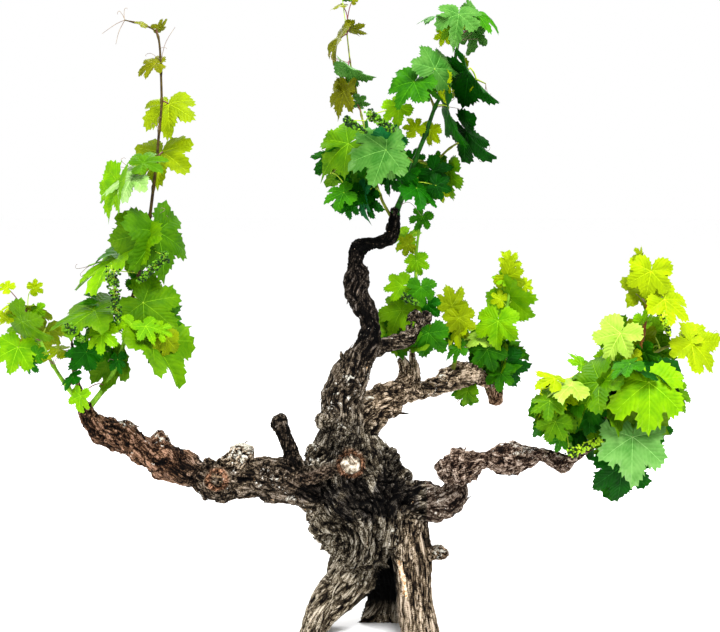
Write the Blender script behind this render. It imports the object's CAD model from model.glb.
import math
from itertools import combinations

import bpy
import numpy as np
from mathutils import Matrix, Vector


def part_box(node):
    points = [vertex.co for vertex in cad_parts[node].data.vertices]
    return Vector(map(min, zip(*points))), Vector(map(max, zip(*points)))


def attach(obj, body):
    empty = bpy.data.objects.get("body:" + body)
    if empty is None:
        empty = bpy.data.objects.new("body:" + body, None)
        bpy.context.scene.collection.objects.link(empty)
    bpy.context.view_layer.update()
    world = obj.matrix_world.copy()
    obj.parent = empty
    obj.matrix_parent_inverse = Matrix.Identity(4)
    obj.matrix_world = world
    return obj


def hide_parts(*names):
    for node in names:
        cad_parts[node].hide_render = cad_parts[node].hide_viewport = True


# An old head-trained grapevine in spring: furrowed bark over a two-legged trunk and four gnarled arms,
# green shoots with tendrils and flower buds, and lobed leaves. Metres, +Z up, front along -Y.

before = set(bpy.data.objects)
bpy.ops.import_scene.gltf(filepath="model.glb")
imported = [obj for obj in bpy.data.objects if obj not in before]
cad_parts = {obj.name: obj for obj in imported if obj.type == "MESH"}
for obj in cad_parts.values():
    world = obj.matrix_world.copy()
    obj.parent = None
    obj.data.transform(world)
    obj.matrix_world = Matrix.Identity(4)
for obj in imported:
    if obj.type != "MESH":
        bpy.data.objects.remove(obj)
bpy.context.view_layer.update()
mm = 0.001
rng = np.random.default_rng(41)


# colour and node helpers


def linear(hexColour):
    # sRGB hex to linear: divide by 12.92 below 0.04045, else the 2.4 power
    parts = [int(hexColour[i : i + 2], 16) / 255 for i in (1, 3, 5)]
    return tuple(v / 12.92 if v <= 0.04045 else ((v + 0.055) / 1.055) ** 2.4 for v in parts) + (1.0,)


def addNode(tree, kind, *inputs, output=0, stops=(), **settings):
    # a node with its settings, whose output socket comes back. Inputs are numbers, colours or sockets to
    # link, in order or as (name, value). Stops are a ramp's places and hex colours, lowest first.
    node = tree.nodes.new("ShaderNode" + kind)
    for name, value in settings.items():
        setattr(node, name, value)
    for spot, value in enumerate(inputs):
        if isinstance(value, tuple) and len(value) == 2:
            spot, value = value
        if isinstance(value, bpy.types.NodeSocket):
            tree.links.new(value, node.inputs[spot])
        else:
            node.inputs[spot].default_value = value
    while stops and len(node.color_ramp.elements) < len(stops):
        node.color_ramp.elements.new(0.5)
    for number, (place, colour) in enumerate(stops):
        node.color_ramp.elements[number].position = place
        node.color_ramp.elements[number].color = linear(colour)
    return node.outputs[output] if node.outputs else node


def chained(tree, value, rows, kind, **settings):
    # nodes one after another, each given its row's inputs and then the value so far
    for row in rows:
        value = addNode(tree, kind, *row, value, **settings)
    return value


adding = {"kind": "Math", "operation": "MULTIPLY_ADD"}  # rows of values and how much of each is added
mixing = {"output": 2, "data_type": "RGBA"}


def newMaterial(name):
    material = bpy.data.materials.new(name)
    material.use_nodes = True
    material.node_tree.nodes.clear()
    return material, material.node_tree


# numpy surfaces


def unit(vectors):
    return vectors / np.maximum(np.linalg.norm(vectors, axis=-1, keepdims=True), 1e-9)


latticeSide = 64
latticeValues = np.random.default_rng(7).uniform(-1, 1, latticeSide**3).astype(np.float32)


def noiseAt(points, shift=0.0):
    # value noise: random numbers on a cubic lattice, blended by the smoothstep of each fraction
    p = np.asarray(points, dtype=np.float32) + np.float32(shift)
    low = np.floor(p)
    f = p - low
    f = f * f * (3 - 2 * f)
    a = low.astype(np.int64) & (latticeSide - 1)
    b = (a + 1) & (latticeSide - 1)
    total = 0
    for ix, wx in ((a[:, 0], 1 - f[:, 0]), (b[:, 0], f[:, 0])):
        for iy, wy in ((a[:, 1], 1 - f[:, 1]), (b[:, 1], f[:, 1])):
            row = (ix * latticeSide + iy) * latticeSide
            total = total + wx * wy * (
                latticeValues[row + a[:, 2]] * (1 - f[:, 2]) + latticeValues[row + b[:, 2]] * f[:, 2]
            )
    return total


def smoothPath(points, count):
    # Catmull-Rom: each span is the cubic through its ends whose slopes are half the neighbours' difference
    p = np.asarray(points, dtype=float)
    u = np.linspace(0, len(p) - 1, count)
    i = np.minimum(u.astype(int), len(p) - 2)
    t = (u - i)[:, None]
    p0, p1 = p[np.maximum(i - 1, 0)], p[i]
    p2, p3 = p[i + 1], p[np.minimum(i + 2, len(p) - 1)]
    return 0.5 * (
        2 * p1 + (p2 - p0) * t + (2 * p0 - 5 * p1 + 4 * p2 - p3) * t**2 + (3 * p1 - p0 - 3 * p2 + p3) * t**3
    )


def tubes(paths, radii, sides, reach=0.5):
    # circles of each path's radius, square to its tangent, joined in rings and closed by a point at each end
    paths = np.asarray(paths, dtype=float)
    radii = np.asarray(radii, dtype=float)
    n, m = radii.shape
    tangent = unit(np.gradient(paths, axis=1))
    chord = unit(paths[:, -1] - paths[:, 0])
    axes = np.eye(3)[np.argmin(np.abs(chord), axis=1)]
    side = unit(np.cross(tangent, axes[:, None]))
    up = np.cross(side, tangent)
    turn = np.linspace(0, 2 * math.pi, sides, endpoint=False)
    ring = np.cos(turn)[:, None] * side[:, :, None] + np.sin(turn)[:, None] * up[:, :, None]
    body = paths[:, :, None] + radii[:, :, None, None] * ring
    start = paths[:, 0] - tangent[:, 0] * radii[:, :1] * reach
    end = paths[:, -1] + tangent[:, -1] * radii[:, -1:] * reach
    verts = np.concatenate([body.reshape(n, -1, 3), start[:, None], end[:, None]], axis=1)
    k, j = np.arange(sides), np.arange(m - 1)[:, None]
    nextK = (k + 1) % sides
    quads = np.stack([j * sides + k, j * sides + nextK, (j + 1) * sides + nextK, (j + 1) * sides + k], -1)
    last = (m - 1) * sides
    tris = np.concatenate(
        [
            np.stack([nextK, k, np.full(sides, m * sides)], -1),
            np.stack([last + k, last + nextK, np.full(sides, m * sides + 1)], -1),
        ]
    )
    # the two frame vectors give a ring that runs clockwise seen along the path, so the faces are turned
    offset = (np.arange(n) * verts.shape[1])[:, None, None]
    quads = (quads.reshape(1, -1, 4) + offset).reshape(-1, 4)[:, ::-1]
    tris = (tris.reshape(1, -1, 3) + offset).reshape(-1, 3)[:, ::-1]
    return verts.reshape(-1, 3), quads, tris


def joined(shapes):
    # several (verts, quads, tris) as one
    verts, quads, tris, base = [], [], [], 0
    for v, q, t in shapes:
        verts.append(v)
        quads.append(np.asarray(q, dtype=np.int64).reshape(-1, 4) + base)
        tris.append(np.asarray(t, dtype=np.int64).reshape(-1, 3) + base)
        base += len(v)
    return np.concatenate(verts), np.concatenate(quads), np.concatenate(tris)


def meshFrom(name, shape, shades=None):
    # the arrays put straight into a mesh; shades gives each face's material, quads first
    verts, quads, tris = shape
    mesh = bpy.data.meshes.new(name)
    mesh.vertices.add(len(verts))
    mesh.vertices.foreach_set("co", np.asarray(verts, dtype=np.float32).ravel())
    loops = np.concatenate([quads.ravel(), tris.ravel()]).astype(np.int32)
    totals = np.concatenate([np.full(len(quads), 4), np.full(len(tris), 3)]).astype(np.int32)
    starts = np.concatenate([[0], np.cumsum(totals)[:-1]]).astype(np.int32)
    mesh.loops.add(len(loops))
    mesh.loops.foreach_set("vertex_index", loops)
    mesh.polygons.add(len(totals))
    mesh.polygons.foreach_set("loop_start", starts)
    mesh.polygons.foreach_set("loop_total", totals)
    mesh.polygons.foreach_set("use_smooth", np.ones(len(totals), dtype=bool))
    if shades is not None:
        mesh.polygons.foreach_set("material_index", shades.astype(np.int32))
    mesh.update(calc_edges=True)
    return mesh


def addPiece(name, mesh, materials, nodes):
    # an object at the origin that rides on the plant and stands for the named nodes
    piece = bpy.data.objects.new(name, mesh)
    bpy.context.scene.collection.objects.link(piece)
    for material in materials:
        mesh.materials.append(material)
    if nodes:
        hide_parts(*sorted(nodes))
    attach(piece, "root")


def setAttribute(mesh, name, values):
    kind = "FLOAT_VECTOR" if values.ndim == 2 else "FLOAT"
    data = mesh.attributes.new(name, kind, "POINT").data
    data.foreach_set("vector" if kind == "FLOAT_VECTOR" else "value", values.astype(np.float32).ravel())


# the wood: routes of the trunk's limbs and of the arms, as x, y, z and radius in millimetres

woodRoutes = {
    "trunk_left_leg": [
        (-132, -14, -30, 34), (-108, -12, 18, 38), (-76, -6, 62, 48), (-54, -4, 107, 56), (-44, -6, 150, 60),
        (-44, -8, 192, 58), (-64, -8, 260, 58), (-118, -16, 318, 48),
    ],
    "trunk_toe": [(-150, -46, -25, 18), (-122, -34, 50, 26), (-84, -20, 104, 32)],
    "trunk_right_leg": [
        (108, -68, -30, 48), (94, -60, 86, 38), (92, -50, 146, 40), (80, -34, 204, 52), (62, -16, 268, 58),
    ],
    "trunk_heel": [
        (58, 66, -40, 54), (54, 64, 30, 52), (40, 60, 100, 64), (10, 40, 190, 86), (-18, 12, 280, 90),
    ],
    "trunk_heel_root": [(44, 52, 84, 30), (16, 40, 40, 27), (-12, 26, -30, 24)],
    "trunk_flank": [(86, 12, -40, 48), (78, 6, 90, 46), (56, 2, 210, 58)],
    "trunk_body": [
        (0, 10, 180, 96), (-22, 0, 284, 114), (-50, 0, 362, 88), (-62, 2, 416, 70), (-64, 6, 480, 44),
    ],
    "trunk_dead_ridge": [(-176, -62, 350, 7), (-136, -72, 366, 11), (-98, -84, 380, 13), (-64, -88, 390, 9)],
    "trunk_shoulder_knob": [(-126, -22, 384, 30), (-106, -24, 412, 24), (-98, -26, 428, 15)],
    "left_arm_inner": [
        (-110, -12, 312, 50), (-150, -20, 334, 50), (-200, -30, 348, 46), (-254, -42, 356, 41),
        (-298, -52, 354, 39), (-340, -58, 356, 42), (-396, -51, 370, 25),
    ],
    "left_arm_outer": [
        (-385, -52, 368, 32), (-450, -42, 396, 37), (-502, -36, 416, 29), (-552, -24, 442, 36),
        (-600, -16, 462, 27), (-626, -8, 490, 20), (-632, -4, 514, 16),
    ],
    "left_arm_burl": [(-306, -56, 366, 30), (-290, -54, 406, 28), (-262, -48, 418, 17)],
    "left_arm_stub": [(-158, -34, 365, 20), (-182, -44, 428, 15), (-194, -48, 466, 18), (-199, -50, 482, 15)],
    "left_arm_dead_spur": [(-632, -2, 510, 6), (-660, 6, 590, 4.5), (-664, 10, 676, 3.5)],
    "upright_arm_lower": [(-62, 8, 470, 50), (-66, 4, 522, 44), (-44, 4, 584, 40), (-14, 8, 638, 22)],
    "upright_arm_bend": [
        (-22, 7, 620, 29), (-4, 10, 678, 24), (-14, 8, 722, 24), (-34, 6, 760, 25), (-33, 6, 798, 26),
        (-40, 8, 832, 13),
    ],
    "upright_arm_top": [
        (-40, 8, 820, 18), (-32, 11, 854, 18), (-4, 18, 868, 14), (24, 22, 872, 14), (44, 24, 886, 16),
        (48, 26, 916, 13), (52, 26, 944, 10),
    ],
    "upright_side_branch": [
        (-12, 12, 628, 20), (46, 36, 646, 19), (86, 54, 654, 17), (97, 64, 684, 18), (106, 68, 700, 24),
    ],
    "upright_spike": [(-58, -6, 590, 7), (-66, -10, 612, 5), (-68, -12, 632, 3)],
    "back_arm_inner": [
        (-48, 16, 452, 50), (0, 44, 492, 41), (46, 80, 518, 34), (80, 120, 520, 25), (124, 170, 514, 14),
    ],
    "back_arm_outer": [(112, 156, 516, 21), (170, 220, 522, 26), (230, 276, 536, 32), (276, 312, 522, 13)],
    "back_arm_hook": [(270, 306, 524, 19), (302, 324, 506, 19), (314, 330, 458, 17)],
    "back_arm_tall_stub": [(62, 98, 518, 21), (80, 110, 562, 20), (68, 116, 600, 10)],
    "back_arm_thin_stub": [(104, 148, 512, 17), (101, 156, 566, 13), (96, 160, 612, 7)],
    "right_arm_root": [
        (60, -16, 298, 46), (114, -50, 306, 38), (150, -76, 312, 37), (174, -96, 338, 30),
        (178, -106, 372, 18),
    ],
    "right_arm_middle": [
        (168, -104, 376, 26), (194, -124, 402, 37), (226, -136, 420, 21), (246, -141, 424, 18),
        (288, -150, 426, 34), (318, -158, 430, 27), (344, -170, 442, 11),
    ],
    "right_arm_tip": [
        (334, -165, 438, 14), (362, -180, 438, 11), (388, -195, 425, 19), (410, -206, 440, 12),
        (430, -220, 458, 10), (452, -236, 474, 9),
    ],
    "low_right_stub": [(84, -42, 180, 16), (124, -50, 188, 13), (146, -52, 192, 15), (164, -52, 188, 12)],
}

# lumps that stand out of the wood, each x, y, z and radius in millimetres
woodLumps = [
    (-94, -24, 487, 27), (-62, -44, 452, 24), (26, -22, 384, 22), (48, 58, 492, 18), (-540, -28, 453, 21),
    (-466, -40, 425, 26), (-356, -82, 398, 14), (-574, -30, 440, 17), (166, -118, 392, 33),
    (-200, -50, 478, 20), (290, -158, 432, 26), (-230, -62, 374, 20), (98, 62, 700, 17), (122, 74, 694, 14),
    (-44, -26, 566, 22), (148, -56, 200, 10), (-134, -40, 372, 18),
]

# old pruning cuts: x, y, z of the face and radius in millimetres, and how brown it has gone
pruningCuts = [((-46, -89, 397), 21, 0.1), ((-333, -101, 368), 16, 0.8)]

# how brown, how black and how lichened each limb's bark is, how far it is lumpy and how cracked
woodTones = {
    "trunk": (0.1, 0.34, 0.05, 0.4, 0.10),
    "trunk_right_leg": (0.3, 0.30, 0.04, 0.4, 0.10),
    "trunk_shoulder_knob": (0.10, 0.25, 0.56, 1.2, 0.8),
    "trunk_body": (0.0, 0.60, 0.16, 0.45, 0.15),
    "trunk_dead_ridge": (0.6, 0.75, 0.30, 1.0, 0.3),
    "left_arm_inner": (0.30, 0.66, 0.24, 1.6, 0.5),
    "left_arm": (0.90, 0.50, 0.20, 1.6, 0.7),
    "left_arm_burl": (0.3, 0.1, 0.74, 1.8, 1.0),
    "left_arm_stub": (0.3, 0.80, 0.16, 1.4, 0.8),
    "upright": (0.25, 0.66, 0.20, 1.3, 0.5),
    "upright_arm_bend": (0.25, 1.0, 0.22, 1.3, 0.5),
    "upright_arm_top": (0.2, 2.0, 0.06, 1.3, 0.5),
    "back_arm": (0.35, 0.16, 0.30, 1.4, 0.5),
    "back_arm_hook": (0.75, 0.05, 0.10, 1.1, 0.5),
    "right_arm_root": (0.10, 0.62, 0.22, 1.6, 0.5),
    "right_arm": (0.32, 0.46, 0.22, 1.9, 0.5),
    "low_right_stub": (0.5, 0.0, 0.62, 1.4, 0.6),
}

# stains: centre and half sizes in millimetres, and how much blacker the bark is there
woodStains = [
    ((-20, -90, 326), (150, 90, 46), 1.5),
    ((-60, -60, 440), (90, 80, 50), 0.75),
    ((40, -40, 400), (50, 90, 60), 0.8),
    ((96, -30, 236), (36, 60, 34), 0.75),
    ((-20, 90, 330), (150, 90, 60), 0.9),
    ((-50, 70, 450), (90, 80, 60), 0.7),
    ((20, 110, 190), (90, 60, 60), 0.6),
    ((-430, -45, 384), (60, 60, 46), 0.7),
]

# where lichen crusts the bark: centre and reach in millimetres, and how much of it
lichenCrusts = [
    ((-538, -24, 470), 26, 0.25), ((-462, -44, 440), 28, 0.3), ((-116, -40, 432), 24, 0.3),
    ((-94, -30, 500), 24, 0.2), ((160, -130, 404), 26, 0.25), ((-50, -70, 450), 50, 0.5),
    ((30, -60, 420), 16, 0.4),
]

# lines the fibres follow over the front of the trunk, in millimetres
fibreGuides = [
    [
        (-158, -60, 301), (-91, -85, 274), (-44, -100, 238), (-40, -104, 214), (-60, -100, 188),
        (-92, -95, 121), (-137, -60, 41),
    ],
    [(39, -80, 251), (24, -92, 200), (-24, -95, 125), (-92, -80, 60)],
    [(-6, -90, 365), (30, -88, 300), (40, -80, 251)],
    [(-118, -55, 246), (-72, -92, 222), (-66, -95, 204), (-108, -70, 160)],
    [(84, -90, 200), (92, -95, 120), (100, -100, 20)],
    [(-190, -70, 330), (-140, -80, 300), (-100, -92, 262), (-82, -95, 222), (-104, -80, 178)],
    [(-110, -85, 330), (-60, -95, 300), (-10, -98, 262), (0, -98, 220), (-30, -95, 170), (-84, -85, 110)],
    [(90, -85, 330), (50, -95, 300), (20, -98, 262), (10, -98, 220)],
    [(150, -110, 320), (104, -95, 300), (76, -90, 262), (74, -88, 220)],
    [(-30, -95, 120), (-70, -80, 84), (-112, -66, 40), (-124, -60, 16)],
]

# the dark gap between the two legs, from its top down: height, left and right edge in millimetres
legGap = [
    (206, 36, 48), (184, 28, 55), (160, 21, 58), (130, 13, 60), (112, 9, 60), (98, -4, 60), (63, -46, 62),
    (34, -84, 65), (-60, -140, 84),
]

bark = {
    "voxel": 2.3 * mm,
    "trunkVoxel": 4 * mm,
    "gapDepth": (-220 * mm, 34 * mm),  # the gap between the legs, front and back
    "knotEvery": 70 * mm,  # seeded knots along the arms
    "knotSize": 0.66,  # in limb radii
    "smoothing": 3,
    "twist": 0.45,  # slope of the fibres round a limb
    "guideReach": 40 * mm,
    "bendStep": 16 * mm,  # how far apart the fibres' direction is compared to find their bend
    "sharpestBend": 16.0,  # 1 / metres
    # width, length and depth of the furrows in mm, and what a metre of limb radius adds to the depth
    "furrows": ((18, 200, 1.6, 0.085), (9, 150, 1.7, 0.036), (5, 90, 1.1, 0.008)),
    "waver": (0.034, 0.005),  # reach and size of the fibres' slow waver, in metres
    "flutes": (0.046, 0.28),  # sinews of the trunk: across and along, in metres
    "fluteDepth": 0.22,  # in limb radii
    "fluteFrom": (0.02, 0.05),  # limb radius where they begin, and how much more brings their full depth
    "crackBlocks": (0.017, 0.008),  # width of the blocks between cracks and of their ragged edges
    "crackDepth": (2.2 * mm, 0.02),  # plain, and for each metre of limb radius
    "swell": (0.0012, 0.0026),  # what the skin gains on any limb, and more on a thick one
    "lichenHeight": 5 * mm,
    # top and foot in mm of the strip that has lost its bark, its half width at the foot and what the top adds
    "bareStrip": ((60, -66, 176), (76, -84, 106)),
    "stripWidth": (4.5, 2.5),
    "lumpDepth": 0.15,
    "flakes": 620,  # curled scraps of dead bark
    "flakeLength": (12 * mm, 42 * mm),
    "flakeWidth": (1.4 * mm, 4.0 * mm),
    "flakeLift": 8 * mm,
    "flakesFrom": 48 * mm,  # above the ground
    "flakeTaper": np.array([0.8, 1, 0.95, 0.75, 0.5, 0.15]),
}


def longestStart(name, table):
    # the longest key of the table that starts the name
    return max((key for key in table if name.startswith(key)), key=len, default=None)


def skinOf(shape, voxel, cutter=None):
    # the shape's volume as one skin of even quads, with the cutter taken out
    seed = bpy.data.objects.new("woodSeed", meshFrom("woodSeed", shape))
    bpy.context.scene.collection.objects.link(seed)
    remesh = seed.modifiers.new("fuse", "REMESH")
    remesh.mode = "VOXEL"
    remesh.voxel_size = voxel
    tool = None
    if cutter is not None:
        tool = bpy.data.objects.new("gapSeed", meshFrom("gapSeed", cutter))
        bpy.context.scene.collection.objects.link(tool)
        carve = seed.modifiers.new("carve", "BOOLEAN")
        carve.operation = "DIFFERENCE"
        carve.object = tool
        carve.solver = "EXACT"
    evaluated = seed.evaluated_get(bpy.context.evaluated_depsgraph_get()).to_mesh()
    evaluated.calc_loop_triangles()
    verts = np.empty(len(evaluated.vertices) * 3, dtype=np.float32)
    evaluated.vertices.foreach_get("co", verts)
    if cutter is None:
        faces = np.empty(len(evaluated.loops), dtype=np.int32)
        evaluated.loops.foreach_get("vertex_index", faces)
        faces = faces.reshape(-1, 4)
    else:
        faces = np.empty(len(evaluated.loop_triangles) * 3, dtype=np.int32)
        evaluated.loop_triangles.foreach_get("vertices", faces)
        faces = faces.reshape(-1, 3)
    bpy.data.objects.remove(seed)
    if tool:
        bpy.data.objects.remove(tool)
    return verts.reshape(-1, 3), faces


limbs = {name: np.array(route, dtype=float) * mm for name, route in woodRoutes.items()}
woodSamples = {"centre": [], "tangent": [], "radius": [], "tone": []}
footShapes, woodShapes = [], []
knotRng = np.random.default_rng(5)
for name, route in limbs.items():
    length = np.linalg.norm(np.diff(route[:, :3], axis=0), axis=1).sum()
    path = smoothPath(route, max(6, int(length / (6 * mm))))
    isFoot = name.startswith("trunk") and route[:, 3].min() > 16 * mm
    (footShapes if isFoot else woodShapes).append(tubes(path[None, :, :3], path[None, :, 3], 20))
    woodSamples["centre"].append(path[::2, :3])
    woodSamples["tangent"].append(unit(np.gradient(path[:, :3], axis=0))[::2])
    woodSamples["radius"].append(path[::2, 3])
    woodSamples["tone"].append(np.repeat([woodTones[longestStart(name, woodTones)]], len(path[::2]), axis=0))
    if name.startswith("trunk") or length < 100 * mm or "dead" in name:
        continue
    # seeded knots stand out of the arms, each a short fat limb
    for place in np.arange(0.5, length / bark["knotEvery"]) * bark["knotEvery"] / length:
        at = path[min(int(place * len(path)), len(path) - 2)]
        along = path[min(int(place * len(path)), len(path) - 2) + 1, :3] - at[:3]
        out = unit(np.cross(along, knotRng.normal(size=3)))
        radius = at[3] * bark["knotSize"] * knotRng.uniform(0.75, 1.1)
        knot = at[:3] + out * np.outer(np.array([0.2, 0.6, 0.95]) * at[3], np.ones(3))
        woodShapes.append(tubes(knot[None], radius * np.array([[1.0, 1.0, 0.62]]), 14))
for x, y, z, r in np.array(woodLumps) * mm:
    # a ball: rings whose radius is the cosine of their latitude
    rise = np.radians([-62, -36, 0, 36, 62])
    ball = np.array([x, y, z]) + np.outer(np.sin(rise) * r, [0, 0, 1])
    woodShapes.append(tubes(ball[None], np.cos(rise)[None] * r, 16))
for (x, y, z), r, _ in pruningCuts:
    # the callus that has grown round a cut, a ring a little over one turn long
    turn = np.linspace(0, 2.1 * math.pi, 28)
    wavy = y + 6 + 1.5 * np.sin(3 * turn)
    ring = np.stack([x + (r + 3) * np.cos(turn), wavy, z + (r + 3) * np.sin(turn)], -1)
    woodShapes.append(tubes(ring[None] * mm, (5.5 + 1.3 * np.sin(5 * turn))[None] * mm, 12))
woodSamples = {key: np.concatenate(value).astype(np.float32) for key, value in woodSamples.items()}

# the gap's cutter: a ring of four corners at each height, joined down and closed at both ends
gapRows = np.array(legGap) * mm
front, back = bark["gapDepth"]
rings = [
    [(left, front, z), (right, front, z), (right, back, z), (left, back, z)]
    for z, left, right in gapRows
]
row, corner = np.arange(len(gapRows) - 1)[:, None] * 4, np.arange(4)
gapQuads = np.stack([row + corner, row + 4 + corner, row + 4 + (corner + 1) % 4, row + (corner + 1) % 4], -1)
foot = 4 * len(gapRows) - 4
gapQuads = np.concatenate([gapQuads.reshape(-1, 4), [[0, 1, 2, 3], [foot + 3, foot + 2, foot + 1, foot]]])
gapShape = (np.array(rings).reshape(-1, 3), gapQuads, np.zeros((0, 3), dtype=int))
footVerts, footFaces = skinOf(joined(footShapes), bark["trunkVoxel"], gapShape)
print("gap cut between the legs:", len(footFaces), "faces")
woodShapes.append((footVerts, np.zeros((0, 4), dtype=int), footFaces))
skin, skinQuads = skinOf(joined(woodShapes), bark["voxel"])
print("wood skin:", len(skin), "points", len(skinQuads), "quads")


def vertexNormals(verts, quads):
    # each face's cross product of diagonals, summed at its corners
    face = np.cross(verts[quads[:, 2]] - verts[quads[:, 0]], verts[quads[:, 3]] - verts[quads[:, 1]])
    corner = quads.ravel()
    sums = [np.bincount(corner, np.repeat(face[:, a], 4), len(verts)) for a in range(3)]
    return unit(np.stack(sums, -1))


def smoothed(verts, quads, rounds):
    # each point moves towards the mean of its neighbours along the edges, then a little back
    ends = np.concatenate([quads, np.roll(quads, -1, axis=1)], axis=1)
    a, b = ends[:, :4].ravel(), ends[:, 4:].ravel()
    count = np.bincount(a, minlength=len(verts)) + np.bincount(b, minlength=len(verts))
    for strength in [0.6, -0.42] * rounds:
        near = np.stack(
            [
                np.bincount(a, verts[b, axis], len(verts)) + np.bincount(b, verts[a, axis], len(verts))
                for axis in range(3)
            ],
            -1,
        )
        verts = verts + strength * (near / count[:, None] - verts)
    return verts


def limbField(points):
    # every limb sample weighs by how near its surface is; the weighted means give each point's limb
    result = []
    c, r = woodSamples["centre"], woodSamples["radius"]
    t = woodSamples["tangent"]
    outer = (t[:, :, None] * t[:, None]).reshape(-1, 9)
    table = np.concatenate([outer, r[:, None], woodSamples["tone"]], axis=1)
    for part in np.array_split(points.astype(np.float32), max(1, len(points) // 8192)):
        gap = np.sqrt(
            np.maximum((part**2).sum(1)[:, None] - 2 * part @ c.T + (c**2).sum(1)[None], 1e-12)
        ) - r[None]
        weight = np.exp(-(gap - gap.min(1, keepdims=True)) / 0.009)
        result.append((weight @ table) / weight.sum(1, keepdims=True))
    result = np.concatenate(result)
    return result[:, :9], result[:, 9], result[:, 10:]


def guideField(points):
    # the guide lines' directions, weighed by the bell curve of their distance
    lines = [smoothPath(np.array(line) * mm, 40) for line in fibreGuides]
    c = np.concatenate(lines)
    t = np.concatenate([unit(np.gradient(line, axis=0)) for line in lines])
    tensor = (t[:, :, None] * t[:, None]).reshape(-1, 9)
    near = ((points[:, None, ::2].astype(np.float32) - c[None, :, ::2].astype(np.float32)) ** 2).sum(2)
    weight = np.exp(-near / bark["guideReach"] ** 2) * (points[:, 1] < -20 * mm)[:, None]
    return weight @ tensor / 4


def fibreFlow(points, normal):
    # which way the fibres run: along the limbs and guides, with a slow twist round them
    tensor, radius, tone = limbField(points)
    atFront = np.flatnonzero((points[:, 2] < 0.42) & (np.abs(points[:, 0]) < 0.22) & (points[:, 1] < 0))
    tensor[atFront] += guideField(points[atFront])
    flow = np.linalg.eigh(tensor.reshape(-1, 3, 3).astype(float))[1][:, :, 2]
    guided = np.trace(tensor.reshape(-1, 3, 3), axis1=1, axis2=2)
    slope = bark["twist"] * (noiseAt(points / 0.11, 3.3) + 0.3) * np.clip(1.6 - guided * 0.5, 0, 1)
    flow *= np.where(flow[:, 2] < 0, -1, 1)[:, None]
    flow = unit(flow + np.cross(flow, normal) * slope[:, None])
    return unit(flow - normal * (flow * normal).sum(1, keepdims=True)), radius, tone


def streaks(points, across, along, shift):
    # noise averaged along the curved fibres, so it is drawn out into streaks; scaled to unit spread
    total = 0
    for tap in np.linspace(-0.5, 0.5, int(1.1 * along / across) + 3) * along:
        total = total + noiseAt((points + flow * tap + bend * (0.5 * tap * tap)) / across, shift)
    return total / total.std()


def ridged(values):
    # thin furrows where the noise crosses zero, broad ridges between
    return np.minimum(np.abs(values) / 0.7, 1) ** 0.75


skin = smoothed(skin.astype(float), skinQuads, bark["smoothing"])
normal = vertexNormals(skin, skinQuads)
flow, radius, tone = fibreFlow(skin, normal)
ahead = fibreFlow(skin + flow * bark["bendStep"], normal)[0]
behind = fibreFlow(skin - flow * bark["bendStep"], normal)[0]
ahead *= np.sign((ahead * flow).sum(1, keepdims=True))
behind *= np.sign((behind * flow).sum(1, keepdims=True))
bend = (ahead - behind) / (2 * bark["bendStep"])
bend /= np.maximum(np.linalg.norm(bend, axis=1, keepdims=True) / bark["sharpestBend"], 1)

reach, much = bark["waver"]
warped = skin + np.stack([noiseAt(skin / reach, s) for s in (11.0, 12.0, 13.0)], -1) * much
start, more = bark["fluteFrom"]
thick = np.clip((radius - start) / more, 0, 1)
flutes = np.clip(streaks(warped, *bark["flutes"], 1.0), -1.6, 1.6)
lift = flutes * 0.5 * bark["fluteDepth"] * radius * thick
shares = []
for row, (across, along, plain, extra) in enumerate(bark["furrows"]):
    band = ridged(streaks(warped, across * mm, along * mm, 21.0 + 10 * row))
    lift -= (1 - band) * (plain * mm + extra * radius)
    shares.append(band)
# cracks run any way over the cracked limbs and part their bark into blocks
block, edge = bark["crackBlocks"]
cracks = ridged((noiseAt(warped / block, 71.0) + 0.6 * noiseAt(warped / edge, 72.0)) * 2.4)
plain, extra = bark["crackDepth"]
lift -= tone[:, 4] * (1 - cracks) * (plain + extra * radius)
relief = (0.55 + 0.45 * shares[0]) * (0.40 + 0.60 * shares[1]) * (0.50 + 0.50 * shares[2])
relief = np.clip(relief * (1 - 0.65 * tone[:, 4] * (1 - cracks)), 0, 1)
lumps = noiseAt(skin / 0.036, 51.0) + 0.7 * noiseAt(skin / 0.018, 52.0) + 0.35 * noiseAt(skin / 0.009, 53.0)
lift += lumps * tone[:, 3] * np.clip(bark["lumpDepth"] * radius, 0.0006, 0.0055)
lift += bark["swell"][1] * thick + bark["swell"][0]
# the rougher the lichen, the more it stands up in crumbs and holes
crumbs = noiseAt(skin / 0.010, 54.0)
lift += np.clip(tone[:, 2] - 0.5, 0, 1) * crumbs * bark["lichenHeight"]
skin = skin + normal * lift[:, None]
skin[:, 2] = np.maximum(skin[:, 2], 0)
barkNormal = vertexNormals(skin, skinQuads)

# stains, the bare strip, the dark of the gap and where lichen grows
stain = np.zeros(len(skin))
raggedEdge = noiseAt(warped / 0.030, 81.0) + 0.6 * noiseAt(warped / 0.012, 82.0)
for middle, halves, much in woodStains:
    far = ((skin / mm - middle) / halves) ** 2
    stain = np.maximum(stain, much * np.clip(1.3 - far.sum(1) - 0.9 * raggedEdge, 0, 1))
crust = np.zeros(len(skin))
for middle, reach, much in lichenCrusts:
    away = ((skin / mm - middle) ** 2).sum(1) / reach**2
    crust = np.maximum(crust, much * np.clip(1.4 - away, 0, 1))
lichen = tone[:, 2] + crust + 0.35 * noiseAt(skin / 0.045, 61.0) * (tone[:, 2] > 0.1)
lichen = np.clip(lichen + 0.12 * barkNormal[:, 2], 0, 1)
lichen *= 1 - np.clip(stain, 0, 0.8)
stripTop, stripFoot = np.array(bark["bareStrip"]) * mm
strip = stripTop - stripFoot
alongStrip = np.clip((skin - stripFoot) @ strip / (strip**2).sum(), 0, 1)
offStrip = np.linalg.norm((skin - stripFoot - alongStrip[:, None] * strip) * [1, 0.3, 1], axis=1)
narrow, wider = bark["stripWidth"]
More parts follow.
